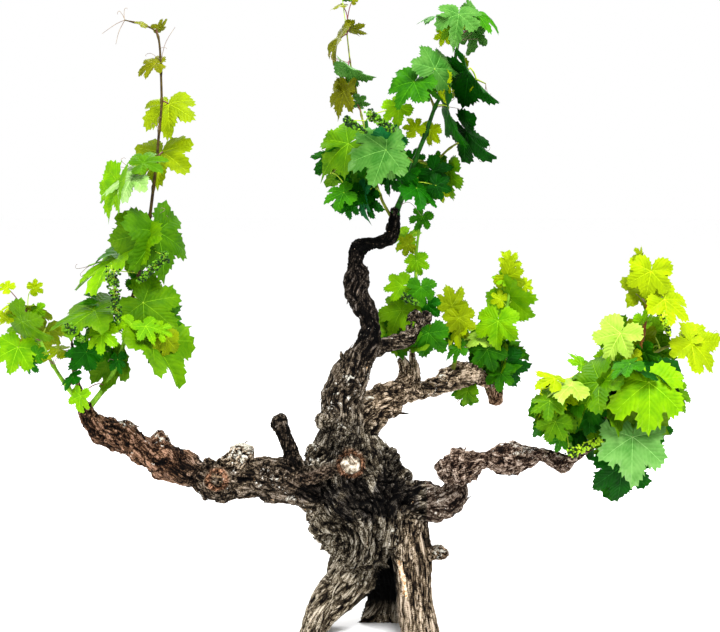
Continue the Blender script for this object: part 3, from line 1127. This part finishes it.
leafTints = {  # upper side, its mottle, underside, veins
    "neon": ("#bcd600", "#9cba00", "#c0d816", "#c2da14"),
    "young": ("#a0b800", "#809a00", "#a5ba1a", "#a6bc16"),
    "fresh": ("#98d200", "#6cb000", "#9ed11d", "#9ed318"),
    "lime": ("#70a400", "#4e8600", "#7daa1c", "#79a910"),
    "moss": ("#5c9400", "#407600", "#699c18", "#659a10"),
    "olive": ("#8c9200", "#6a7000", "#92981a", "#939a19"),
    "grass": ("#429000", "#266c00", "#549814", "#4d960e"),
    "mid": ("#1e7a00", "#0e5800", "#30820c", "#288006"),
    "deep": ("#0c5c00", "#043e00", "#1c660a", "#146404"),
    "teal": ("#126c30", "#064e1e", "#28783c", "#1e7434"),
    "sage": ("#649e40", "#3a7a22", "#74a856", "#6fa44b"),
    "greyGreen": ("#84c060", "#529838", "#91c570", "#92c56e"),
    "mint": ("#bce052", "#94c430", "#c2e26b", "#c0e263"),
    "pale": ("#b6da86", "#8ec456", "#c0dea0", "#bcde94"),
}
tintDepth = 0.78  # how far full light is taken out of the tints above
fillTints = {  # which tints the unseen leaves of a mass take, by the longest start of its name
    "left": ["grass", "lime", "mid", "young", "grass"],
    "left_low": ["young", "lime", "fresh"],
    "left_shoot_mass_mid": ["young", "lime", "grass"],
    "left_shoot_mass_high": ["young"],
    "left_shoot_mass_top": ["olive"],
    "top": ["mid", "deep", "grass", "mid", "lime"],
    "top_slim": ["olive", "grass"],
    "top_crown": ["lime", "young", "sage"],
    "top_middle": ["lime", "young", "grass"],
    "centre": ["lime", "fresh", "grass"],
    "back": ["young", "fresh", "lime", "grass"],
    "back_tip": ["neon", "young", "fresh"],
    "right": ["fresh", "lime", "grass", "mid"],
    "right_left": ["grass", "lime", "mid"],
    "right_front": ["deep", "mid", "lime"],
    "right_top": ["neon", "young"],
    "right_far": ["neon", "young"],
    "right_upper": ["young", "fresh", "lime"],
    "right_low": ["deep", "mid", "mid"],
    "right_rear": ["mid", "deep", "grass"],
}
fillShare = {  # fewer of them where the sky shows
    "left_low": 0.35, "left_head": 0.12, "left_drooping": 0.0, "left_shoot": 0.0,
    "top_slim": 0.0, "top_right": 0.0, "top_crown": 0.2, "top_middle": 0.05, "top_left": 0.25,
    "top_front": 0.4, "top_low": 0.25, "back_tip": 0.3, "centre_back_tip": 0.2, "centre_back_mass": 0.6,
    "right_top": 0.2, "right_far": 0.1, "right_upper": 0.22, "right_left": 0.7, "right_front": 0.8,
    "right_low": 0.12,
}
leafShape = {
    # how far the edge is from the stalk at each angle from the tip, in leaf lengths
    "angles": np.radians(
        [0, 8, 16, 22, 26, 29, 34, 42, 52, 61, 69, 75, 79, 83, 90, 99, 109]
        + [121, 135, 148, 159, 168, 175, 180]
    ),
    "reach": np.array(
        [1, 0.92, 0.83, 0.76, 0.71, 0.74, 0.81, 0.88, 0.92, 0.87, 0.80, 0.73, 0.68, 0.70, 0.74, 0.77, 0.77]
        + [0.73, 0.68, 0.61, 0.51, 0.37, 0.17, 0.05]
    ),
    # where a deeper lobing cuts in
    "slots": np.array([0, 0, 0.1, 0.6, 1, 0.6, 0.1, 0, 0, 0, 0.1, 0.5, 0.85, 0.5, 0.1] + [0] * 9),
    "veins": np.radians([0, 51, -51, 106, -106]),
    "toothSize": 0.044,
    "thickness": 0.7 * mm,
    "ribEvery": 0.115,  # side veins, in leaf lengths
    "lightThrough": 0.34,  # share of the light that comes through a blade
    "ribsShowFrom": 80 * mm,  # a shorter leaf draws fewer of them, so that they aren't too fine to show
    "fillPerArea": 1 / (54 * mm) ** 2,
}


def leafParameters(place, seed):
    # each leaf's own droop, fold, waves and lobing; small leaves are cut deeper
    count = len(place["length"])
    r = np.random.default_rng(seed)
    small = np.clip((90 * mm - place["length"]) / (60 * mm), 0, 1)
    folds = np.where(np.isnan(place["fold"]), r.uniform(-0.10, 0.24, count), place["fold"])
    return {
        "sides": r.normal(1, 0.06, (count, 2, len(leafShape["reach"]))),
        "lobing": r.uniform(0.0, 0.24, count) + 0.30 * small,
        "droop": r.uniform(0.15, 0.65, count) * np.where(np.isnan(place["fold"]), 1, 0.4),
        "fold": folds,
        "curl": r.uniform(0.0, 0.42, count),
        "wave": r.uniform(0.05, 0.13, count),
        "phase": r.uniform(0, 2 * math.pi, (count, 3)),
        "skew": r.uniform(-0.10, 0.10, count),
        "seed": seed,
    }


def leafReach(theta, p):
    # straight lines between the control angles, the left and right halves apart
    rows = np.eye(len(leafShape["reach"]))
    basis = np.stack([np.interp(np.abs(theta), leafShape["angles"], row) for row in rows])
    reach = leafShape["reach"] * p["sides"] * (1 - p["lobing"][:, None, None] * leafShape["slots"])
    return np.where(theta >= 0, reach[:, 0] @ basis, reach[:, 1] @ basis)


def leafSpread(around):
    # angles at even steps along the mean outline, so that lobes and slots get their share
    fine = np.linspace(-math.pi, math.pi, 1441)
    mean = {"sides": np.ones((1, 2, len(leafShape["reach"]))), "lobing": np.array([0.35])}
    r = leafReach(fine, mean)[0]
    x, y = r * np.sin(fine), r * np.cos(fine)
    along = np.concatenate([[0], np.cumsum(np.hypot(np.diff(x), np.diff(y)))])
    return np.interp(np.arange(around) / around * along[-1], along, fine)


def leafOutline(theta, p):
    # the edge's points in the leaf's plane, plain and with teeth that lean to the nearest vein's tip
    bent = theta[None] + p["skew"][:, None] * np.sin(theta)[None]
    r = leafReach(theta, p)
    plain = np.stack([r * np.sin(bent), r * np.cos(bent)], -1)
    along = unit(np.roll(plain, -1, axis=1) - np.roll(plain, 1, axis=1))
    out = np.stack([-along[..., 1], along[..., 0]], -1)
    toothRng = np.random.default_rng(p["seed"] + 5)
    size = leafShape["toothSize"] * toothRng.uniform(0.55, 1.45, r.shape)
    isTooth = np.arange(len(theta)) % 2 == 0
    nearVein = leafShape["veins"][np.argmin(np.abs(theta[None] - leafShape["veins"][:, None]), 0)]
    lean = np.clip((nearVein - theta) * 4, -1, 1)
    fade = np.clip((math.pi - np.abs(theta)) * 4, 0, 1)
    push = size * np.where(isTooth, 1.0, -0.35) * fade
    slide = size * np.where(isTooth, 0.75, 0) * lean * fade
    return plain, plain + out * push[..., None] + along * slide[..., None]


def leafHeight(x, y, p):
    # the blade droops towards its tip, folds along the midrib, swells between the veins and waves at its edge
    def each(key):
        return p[key].reshape((-1,) + (1,) * (x.ndim - 1))

    angle = np.arctan2(x, y)
    r = np.hypot(x, y)
    veins = leafShape["veins"].reshape((-1,) + (1,) * x.ndim)
    between = np.min(np.abs(angle[None] - veins), 0)
    height = -each("droop") * np.where(y > 0, y * y, 0.6 * y * y)
    height += each("fold") * np.sqrt(x * x + 0.002) - each("curl") * x * x
    height += 0.095 * (1 - np.exp(-(between**2) / 0.05)) * r * np.clip(1.3 - r, 0, 1)
    phase = p["phase"].reshape((-1, 3) + (1,) * (x.ndim - 1))
    height += each("wave") * r * r * np.sin(3 * angle + phase[:, 0])
    height += 0.55 * each("wave") * r * r * np.sin(8 * angle + phase[:, 1])
    return height


def placeLeaves(x, y, z, place):
    # leaf coordinates along its side, tip and face directions, scaled by its length
    size = place["length"].reshape((-1,) + (1,) * x.ndim)
    side = np.cross(place["tip"], place["face"])
    shape = (-1,) + (1,) * (x.ndim - 1) + (3,)
    across, along, out = side.reshape(shape), place["tip"].reshape(shape), place["face"].reshape(shape)
    local = x[..., None] * across + y[..., None] * along + z[..., None] * out
    return place["at"].reshape(shape) + size * local


def leafBlades(place, p, around, rings):
    # a polar grid from the stalk to the toothed edge, and a second skin below it that shares the edge
    theta = leafSpread(around)
    plain, toothed = leafOutline(theta, p)
    rings = np.asarray(rings)
    grid = plain[:, None] * rings[None, :, None, None]
    grid[:, -1] = toothed
    x, y = grid[..., 0], grid[..., 1]
    z = leafHeight(x, y, p)
    upper = placeLeaves(x, y, z, place)
    n, m = len(plain), len(rings)
    thin = leafShape["thickness"] / place["length"][:, None, None] * (1 - rings[None, :, None] ** 2)
    lower = placeLeaves(x, y, z - thin, place)[:, :-1]
    lifted = (p["fold"] * 0.045 * place["length"])[:, None, None]
    middle = place["at"][:, None] + place["face"][:, None] * lifted
    under = middle - place["face"][:, None] * leafShape["thickness"]
    verts = np.concatenate([upper.reshape(n, -1, 3), lower.reshape(n, -1, 3), middle, under], axis=1)
    # how far along its side veins each point lies, the leaf's own shade, and how near the edge it is
    angle, r = np.arctan2(x, y), np.hypot(x, y)
    off = angle[None] - leafShape["veins"].reshape(-1, 1, 1, 1)
    off = np.take_along_axis(off, np.argmin(np.abs(off), 0)[None], 0)[0]
    ribs = r * np.cos(off) - 1.1 * r * np.abs(np.sin(off))
    ribs = ribs * np.clip(place["length"] / leafShape["ribsShowFrom"], 0.3, 1)[:, None, None]
    own = np.random.default_rng(p["seed"] + 9).uniform(0, 1, n)
    spread = [np.broadcast_to(values, r.shape) for values in (own[:, None, None], rings[None, :, None])]
    detail = np.stack([ribs, *spread], -1)
    hub = np.stack([np.zeros(n), own, np.zeros(n)], -1)[:, None]
    detail = np.concatenate([detail.reshape(n, -1, 3), detail[:, :-1].reshape(n, -1, 3), hub, hub], axis=1)
    k = np.arange(around)
    nextK = (k + 1) % around
    ringUpper = [k + j * around for j in range(m)]
    ringLower = [k + (m + j) * around for j in range(m - 1)] + [ringUpper[-1]]
    topCentre = (2 * m - 1) * around
    quads, tris, shades = [], [], []
    for side, ring, centre in ((0, ringUpper, topCentre), (1, ringLower, topCentre + 1)):
        for inner, outer in zip(ring[:-1], ring[1:]):
            face = np.stack([inner[k], outer[k], outer[nextK], inner[nextK]], -1)
            quads.append(face if side else face[:, ::-1])
            shades.append(np.full(around, side))
        fan = np.stack([np.full(around, centre), ring[0][k], ring[0][nextK]], -1)
        tris.append(fan if side else fan[:, ::-1])
    offset = (np.arange(n) * verts.shape[1])[:, None, None]
    rim = (np.arange(n)[:, None] * verts.shape[1] + (m - 1) * around + k).ravel()
    return {
        "verts": verts.reshape(-1, 3),
        "quads": (np.concatenate(quads)[None] + offset).reshape(-1, 4),
        "tris": (np.concatenate(tris)[None] + offset).reshape(-1, 3),
        "quadShades": np.tile(np.concatenate(shades), n),
        "triShades": np.tile(np.repeat([0, 1], around), n),
        "rim": rim,
        "detail": detail.reshape(-1, 3),
    }


def leafVeins(place, p, points, sides):
    # the five main veins: thin cords that show on both sides of the blade
    paths, radii = [], []
    for vein, angle in enumerate(leafShape["veins"]):
        reach = leafReach(np.array([angle, angle + 0.01]), p)[:, :1] * np.linspace(0.0, 0.93, points)[None]
        bent = angle + p["skew"][:, None] * math.sin(angle)
        x, y = reach * np.sin(bent), reach * np.cos(bent)
        paths.append(placeLeaves(x, y, leafHeight(x, y, p) - 0.002, place))
        width = (0.0064 if vein < 3 else 0.0052) * np.linspace(1, 0.3, points)[None]
        radii.append(width * place["length"][:, None] + 0.15 * mm)
    return tubes(np.concatenate(paths), np.concatenate(radii), sides)


def leafMaterial(name, colour, mottle, rib):
    # grape leaf: blistered skin between sunk side veins, a dull shine, and light coming a little through
    material, tree = newMaterial(name)
    coords = addNode(tree, "TexCoord", output="Object")
    detail = addNode(tree, "Attribute", output="Vector", attribute_name="veining")
    parts = addNode(tree, "SeparateXYZ", detail).node.outputs
    # 24 mm blotches and 5 mm blisters
    blotch = addNode(tree, "TexNoise", ("Vector", coords), ("Scale", 42.0), ("Detail", 4.0), output="Fac")
    blister = addNode(tree, "TexNoise", ("Vector", coords), ("Scale", 210.0), ("Detail", 2.0), output="Fac")
    waver = chained(tree, parts["X"], [(blotch, 0.16)], **adding)
    halfRib = leafShape["ribEvery"] / 2
    wave = addNode(tree, "Math", waver, halfRib, operation="PINGPONG")
    puff, offRib = (
        addNode(tree, "MapRange", wave, 0.0, high, interpolation_type="SMOOTHSTEP")
        for high in (halfRib, 0.016)
    )
    # the shade goes by blotch, by leaf, and paler towards the edge
    shades = [(parts["Y"], 0.34), (blotch, 1.5), (parts["Z"], 0.30), (puff, -0.07)]
    shade = chained(tree, -0.62, shades, **adding)
    tone = addNode(tree, "ValToRGB", shade, stops=[(0.18, mottle), (0.82, colour)])
    onRib = chained(tree, 0.13, [(offRib, -0.13)], **adding)
    deeper = (tintDepth,) * 3 + (1.0,)
    for much, over, kind in ((onRib, linear(rib), "MIX"), (1.0, deeper, "MULTIPLY")):
        tone = addNode(tree, "Mix", (0, much), (6, tone), (7, over), blend_type=kind, **mixing)
    height = chained(tree, puff, [(blister, 0.9)], **adding)
    bump = addNode(tree, "Bump", ("Height", height), ("Strength", 0.55), ("Distance", 1.2 * mm))
    finish = (("Roughness", 0.55), ("Specular IOR Level", 0.07), ("Normal", bump))
    shader = addNode(tree, "BsdfPrincipled", tone, *finish)
    through = addNode(tree, "BsdfTranslucent", tone)
    addNode(tree, "OutputMaterial", addNode(tree, "MixShader", leafShape["lightThrough"], shader, through))
    return material


def turned(tipTurn, roll, pitch):
    # a leaf that faces the front, its tip turned clockwise from up, rolled about its tip and pitched up
    t, w, h = np.radians(tipTurn), np.radians(roll), np.radians(pitch)
    tip = np.array([np.sin(t), 0.0, np.cos(t)])
    front = np.array([0.0, -1.0, 0.0])
    face = front * np.cos(w) + np.cross(tip, front) * np.sin(w)
    lean = np.array([[1, 0, 0], [0, np.cos(h), np.sin(h)], [0, -np.sin(h), np.cos(h)]])
    return lean @ tip, lean @ face


massNames = [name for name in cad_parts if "_mass" in name]
masses = {name: tuple(np.array(corner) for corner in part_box(name)) for name in massNames}
leaves = []  # at, tip, face, length, tint, mass, hero, fold
for name, specs in heroLeaves.items():
    lo, hi = masses[name]
    for across, back, up, length, tipTurn, roll, pitch, tint, *fold in specs:
        at = lo + (hi - lo) * np.array([across, back, up])
        roll = roll + rng.uniform(-14, 14) * (roll < 50)
        tip, face = turned(tipTurn + rng.uniform(-4, 4), roll, pitch + rng.uniform(-4, 12))
        leaves.append((at, tip, face, length * mm, tint, name, True, fold[0] if fold else math.nan))
for name, (lo, hi) in masses.items():
    # the rest of each mass: leaves behind and beside the front ones, turned out and up, tips hanging
    size, middle = hi - lo, (lo + hi) / 2
    share = fillShare.get(longestStart(name, fillShare), 1.0)
    count = int(round(np.prod(size) ** (2 / 3) * leafShape["fillPerArea"] * share))
    tints = fillTints[longestStart(name, fillTints)]
    for _ in range(count):
        spot = rng.normal(size=3)
        spot = spot / np.linalg.norm(spot) * rng.uniform(0.4, 0.85)
        spot[1] = abs(spot[1]) - 0.02
        at = middle + spot * size / 2 * [0.72, 1, 0.76]
        out = unit(at - middle + np.array([0, 0.2, 0]) * size)
        face = unit(out + np.array([0, 0, 0.45]) + rng.normal(size=3) * 0.28)
        hang = out * 0.5 + np.array([0, 0, -0.75]) + rng.normal(size=3) * 0.4
        tip = unit(hang - face * (hang @ face))
        length = min(rng.uniform(48, 90) * mm, 0.5 * min(size[0], size[2]))
        leaves.append((at, tip, face, length, tints[rng.integers(len(tints))], name, False, math.nan))

# laterals reach into any mass that no shoot passes near
woodEnds = [route[-1, :3] for route in limbs.values()]
for name, (lo, hi) in masses.items():
    middle = (lo + hi) / 2
    known = np.array(nodePoints + woodEnds)
    gap = np.linalg.norm(known - middle, axis=1)
    if gap.min() > 32 * mm:
        start = known[np.argmin(gap + 0.4 * np.maximum(known[:, 2] - middle[2], 0))]
        end = middle + (middle - start) * 0.25
        bow = np.array([0, 0, 0.18 * gap.min()])
        route = np.stack([start, start * 0.65 + end * 0.35 + bow, start * 0.3 + end * 0.7 + bow * 0.8, end])
        radii = canes["lateralRadius"] * np.array([1.2, 1, 0.8, 0.55])
        path = smoothPath(np.concatenate([route, radii[:, None]], axis=1), 24)
        addCane("green" if name.startswith(("left", "back", "centre")) else "olive", path)

knownNodes = np.array(nodePoints)
stalkPaths, stalkRadii, stalkTints = [], [], []
for at, tip, face, length, tint, name, hero, fold in leaves:
    gap = np.linalg.norm(knownNodes - at, axis=1)
    start = knownNodes[np.argmin(gap + 0.5 * np.maximum(knownNodes[:, 2] - at[2], 0) + (gap < 14 * mm))]
    span = np.linalg.norm(at - start)
    a, b = start + np.array([0, 0, 0.25 * span]), at - (tip * 0.28 + face * 0.22) * span
    u = np.linspace(0, 1, 9)[:, None]
    stalkPaths.append(start * (1 - u) ** 3 + 3 * a * u * (1 - u) ** 2 + 3 * b * u**2 * (1 - u) + at * u**3)
    thick = (0.9 + 8 * length) * mm
    stalkRadii.append(thick * np.linspace(1.25, 0.9, 9))
    isPurple = name.startswith(("left_shoot", "top_slim")) or rng.random() < canes["purpleShare"]
    stalkTints.append("purplePetiole" if isPurple else "petiole")
stalkPaths, stalkRadii, stalkTints = np.array(stalkPaths), np.array(stalkRadii), np.array(stalkTints)
for tint in ("petiole", "purplePetiole"):
    chosen = stalkTints == tint
    stemShapes[tint].append(tubes(stalkPaths[chosen], stalkRadii[chosen], 6))

# blades: whether the leaf is in front, points round it, its rings, points along its veins, sides of a vein
bladeGrids = [(True, 96, (0.28, 0.54, 0.78, 1.0), 7, 4), (False, 64, (0.36, 0.72, 1.0), 4, 3)]
leafTriangles = 0
for batch, (tint, (upper, mottle, under, rib)) in enumerate(leafTints.items()):
    shapes, shades, rims, details, veins, base, stands = [], [[], []], [], [], [], 0, set()
    for hero, around, rings, steps, sides in bladeGrids:
        chosen = [leaf for leaf in leaves if leaf[4] == tint and leaf[6] == hero]
        if not chosen:
            continue
        stands |= {leaf[5] for leaf in chosen}
        columns = {"at": 0, "tip": 1, "face": 2, "length": 3, "fold": 7}
        place = {key: np.array([leaf[column] for leaf in chosen]) for key, column in columns.items()}
        p = leafParameters(place, 100 + 10 * batch + hero)
        blade = leafBlades(place, p, around, rings)
        shapes.append((blade["verts"], blade["quads"], blade["tris"]))
        shades[0].append(blade["quadShades"])
        shades[1].append(blade["triShades"])
        rims.append(blade["rim"] + base)
        details.append(blade["detail"])
        base += len(blade["verts"])
        veins.append(leafVeins(place, p, steps, sides))
    if not shapes:
        continue
    cords = joined(veins)
    shape = joined(shapes + [cords])
    quadShades, triShades = shades[0] + [np.full(len(cords[1]), 2)], shades[1] + [np.full(len(cords[2]), 2)]
    mesh = meshFrom("leaves_" + tint, shape, np.concatenate(quadShades + triShades))
    setAttribute(mesh, "veining", np.concatenate(details + [np.zeros((len(cords[0]), 3))]))
    onRim = np.zeros(len(shape[0]), dtype=bool)
    onRim[np.concatenate(rims)] = True
    ends = np.empty(len(mesh.edges) * 2, dtype=np.int32)
    mesh.edges.foreach_get("vertices", ends)
    sharp = onRim[ends.reshape(-1, 2)].all(1)
    mesh.attributes.new("sharp_edge", "BOOLEAN", "EDGE").data.foreach_set("value", sharp)
    looks = [
        leafMaterial("grapeLeaf_" + tint, upper, mottle, rib),
        leafMaterial("grapeLeafUnder_" + tint, under, mottle, rib),
        stemMaterial("grapeVein_" + tint, (rib, upper)),
    ]
    addPiece("leaves_" + tint, mesh, looks, stands)
    triangles = 2 * len(shape[1]) + len(shape[2])
    leafTriangles += triangles
    print("leaves_" + tint, triangles, "triangles")
print("leaves:", len(leaves), "with", leafTriangles, "triangles")

# tendrils: forked, each end curling in a flat spiral

tendrils = {"every": 3, "reach": 62 * mm, "thickness": 0.75 * mm}
tendrilPaths = []
for index in range(1, len(nodePoints), tendrils["every"]):
    at, along = np.array(nodePoints[index]), np.array(nodeDirections[index])
    out = unit(np.cross(along, rng.normal(size=3)))
    out = unit(out * [1, 0.7, 1] + along * 0.5)
    side = unit(np.cross(out, rng.normal(size=3)))
    u = np.linspace(0, 1, 22)[:, None]
    reach = tendrils["reach"] * rng.uniform(0.5, 1.2)
    for hand, share in ((1, 1.0), (-1, 0.8)):
        coil = 2.6 * math.pi * np.clip(u - 0.55, 0, 1) ** 1.5 * 2
        bow = hand * reach * 0.30 * u**2
        loop = reach * 0.11 * (1 - 0.5 * u)
        forth = reach * share * np.minimum(u, 0.72) + loop * np.sin(coil)
        tendrilPaths.append(at + out * forth + side * (bow + hand * loop * (1 - np.cos(coil))))
plainTendrils = [  # nearly straight ones by the shoots' tips: start, middle and end in millimetres
    ((-528, -12, 1346), (-548, -16, 1336), (-576, -20, 1316)),
    ((-528, -12, 1346), (-542, -8, 1322), (-550, -4, 1296)),
    ((-453, -12, 1256), (-442, -16, 1296), (-420, -20, 1330)),
    ((54, 22, 948), (82, 18, 958), (108, 14, 930)),
]
tendrilPaths += [smoothPath(np.array(line, dtype=float) * mm, 22) for line in plainTendrils]
tendrilPaths = np.array(tendrilPaths)
tendrilRadii = np.tile(tendrils["thickness"] * np.linspace(1.1, 0.55, 22), (len(tendrilPaths), 1))
stemShapes["tendril"].append(tubes(tendrilPaths, tendrilRadii, 5))

# flower buds in tight bunches

bunches = {
    "buds": 260,
    "budSize": 2.8 * mm,
    "places": [  # mass, start and end as parts of its box, spread in mm, tint
        ("left_head_mass", (0.92, 0.0, 1.15), (0.98, 0.0, 0.76), 19, "budDark"),
        ("left_head_right_mass", (0.78, 0.0, 1.14), (0.38, 0.0, 0.93), 14, "budDark"),
        ("left_head_mass", (0.40, 0.0, 0.70), (0.56, 0.0, 0.60), 13, "budDark"),
        ("top_front_mass", (-0.07, 0.0, 1.04), (0.24, 0.0, 0.88), 12, "budDark"),
        ("top_front_mass", (0.32, 0.0, 1.12), (0.74, 0.0, 0.90), 14, "budDark"),
        ("right_left_mass", (0.50, 0.1, 0.02), (0.93, 0.1, 0.17), 13, "budBright"),
        ("centre_back_mass", (0.48, 0.1, 0.62), (0.68, 0.1, 0.55), 11, "budDark"),
        ("right_upper_mass", (0.66, 0.1, 0.75), (0.74, 0.1, 0.52), 9, "budBright"),
        ("top_slim_tip_mass", (0.36, 0.4, 1.0), (0.62, 0.4, 0.98), 5, "budDark"),
    ],
    "tints": {
        "budDark": ("#5c8e10", "#234c06"),
        "budBright": ("#aaca24", "#6a9c0c"),
        "budShade": ("#14340a", "#061802"),
    },
    "shadeShare": 0.42,  # deep-green buds among the rest
}
# a bud is a ball of twenty faces: the corners of three golden rectangles, joined where they are nearest
golden = (1 + math.sqrt(5)) / 2
corners = [(a, b * golden) for a in (-1, 1) for b in (-1, 1)]
ball = [(a, b, 0) for a, b in corners] + [(0, a, b) for a, b in corners] + [(b, 0, a) for a, b in corners]
ball = unit(np.array(ball, dtype=float))
gaps = np.linalg.norm(ball[:, None] - ball[None], axis=2)
shortest = gaps[gaps > 0.01].min() * 1.05
triples = np.array(list(combinations(range(12), 3)))
ballFaces = triples[gaps[triples[:, :, None], triples[:, None]].max(axis=(1, 2)) < shortest]
one, two, three = ball[ballFaces].transpose(1, 0, 2)
inward = (np.cross(two - one, three - one) * (one + two + three)).sum(1) < 0
ballFaces[inward] = ballFaces[inward][:, ::-1]
budShapes = {tint: [] for tint in bunches["tints"]}
for name, start, end, spread, tint in bunches["places"]:
    lo, hi = masses[name]
    a, b = lo + (hi - lo) * np.array(start), lo + (hi - lo) * np.array(end)
    count = bunches["buds"] if spread > 6 else 24
    t = rng.uniform(0, 1, count)
    lobes = 0.55 + 0.45 * np.abs(np.sin(t * 9 + 1))
    off = unit(rng.normal(size=(count, 3)))
    off *= (spread * mm * lobes * (1 - 0.45 * t) * rng.uniform(0.3, 1, count) ** 0.5)[:, None]
    centres = a + (b - a) * t[:, None] + off
    sizes = bunches["budSize"] * rng.uniform(0.75, 1.25, count)
    inShade = rng.random(count) < bunches["shadeShare"]
    for kind, chosen in ((tint, ~inShade), ("budShade", inShade)):
        verts = (centres[chosen, None] + ball[None] * sizes[chosen, None, None]).reshape(-1, 3)
        tris = (ballFaces[None] + (np.arange(chosen.sum()) * 12)[:, None, None]).reshape(-1, 3)
        budShapes[kind].append((verts, np.zeros((0, 4), dtype=int), tris))
    spine = a + (b - a) * np.linspace(0, 1, 8)[:, None]
    root = knownNodes[np.argmin(np.linalg.norm(knownNodes - a, axis=1))]
    stalk = root + (a - root) * np.linspace(0, 1, 6)[:, None]
    spine = np.concatenate([stalk, spine[1:]])
    stemShapes["petiole"].append(tubes(spine[None], np.full((1, len(spine)), 1.0 * mm), 6))
    foot = a + (b - a) * (t[:, None] * 0.95)
    twigs = foot[:, None] + (centres - foot)[:, None] * np.linspace(0, 1, 3)[None, :, None]
    stemShapes["petiole"].append(tubes(twigs, np.full((count, 3), 0.45 * mm), 4))
for tint, shapes in budShapes.items():
    mesh = meshFrom(tint + "s", joined(shapes))
    addPiece(tint + "s", mesh, [stemMaterial(tint, bunches["tints"][tint])], ())

for tint, shapes in stemShapes.items():
    if not shapes:
        continue
    shape, rind = joined(shapes), stemMaterial(tint + "Rind", caneTints[tint])
    addPiece(tint + "Stems", meshFrom(tint + "Stems", shape), [rind], stemNodes[tint])
    print(tint, 2 * len(shape[1]) + len(shape[2]), "triangles")

# floor, light and camera

studio = {
    "floor": "#ffffff",
    "sky": "#ffffff",
    "skyStrength": 1.0,
    "floorHalf": 40.0,
    "aim": (0, 0, 0.6),  # what the lamps point at
    "lamps": {  # x, y, z, watts, size
        "key": (0.7, -1.5, 3.4, 230, 1.5),
        "fill": (-2.6, -1.6, 1.6, 40, 2.0),
        "back": (-0.6, 2.6, 2.9, 110, 1.8),
    },
}
floorMaterial, tree = newMaterial("paleFloor")
floorShader = addNode(tree, "BsdfPrincipled", linear(studio["floor"]), ("Roughness", 0.9))
addNode(tree, "OutputMaterial", floorShader)
half = studio["floorHalf"]
floorCorners = np.array([(-half, -half, 0), (half, -half, 0), (half, half, 0), (-half, half, 0)])
floorShape = (floorCorners, np.array([[0, 1, 2, 3]]), np.zeros((0, 3), dtype=int))
floor = bpy.data.objects.new("floor", meshFrom("floor", floorShape))
floor.data.materials.append(floorMaterial)
bpy.context.scene.collection.objects.link(floor)

world = bpy.data.worlds.new("sky")
bpy.context.scene.world = world
world.use_nodes = True
world.node_tree.nodes["Background"].inputs["Color"].default_value = linear(studio["sky"])
world.node_tree.nodes["Background"].inputs["Strength"].default_value = studio["skyStrength"]
for name, (x, y, z, watts, size) in studio["lamps"].items():
    light = bpy.data.lights.new(name, "AREA")
    light.energy = watts
    light.size = size
    lamp = bpy.data.objects.new(name, light)
    lamp.location = (x, y, z)
    lamp.rotation_euler = (Vector(studio["aim"]) - Vector((x, y, z))).to_track_quat("-Z", "Y").to_euler()
    bpy.context.scene.collection.objects.link(lamp)

view = {"place": (-0.0264, -2.5858, 0.9815), "tilt": 84, "lens": 59.1}
camera = bpy.data.objects.new("camera", bpy.data.cameras.new("camera"))
camera.location = view["place"]
camera.rotation_euler = (math.radians(view["tilt"]), 0, 0)
camera.data.lens = view["lens"]
camera.data.sensor_width = 36
bpy.context.scene.collection.objects.link(camera)
bpy.context.scene.camera = camera
bpy.context.scene.view_settings.view_transform = "Standard"

print("sizes written")
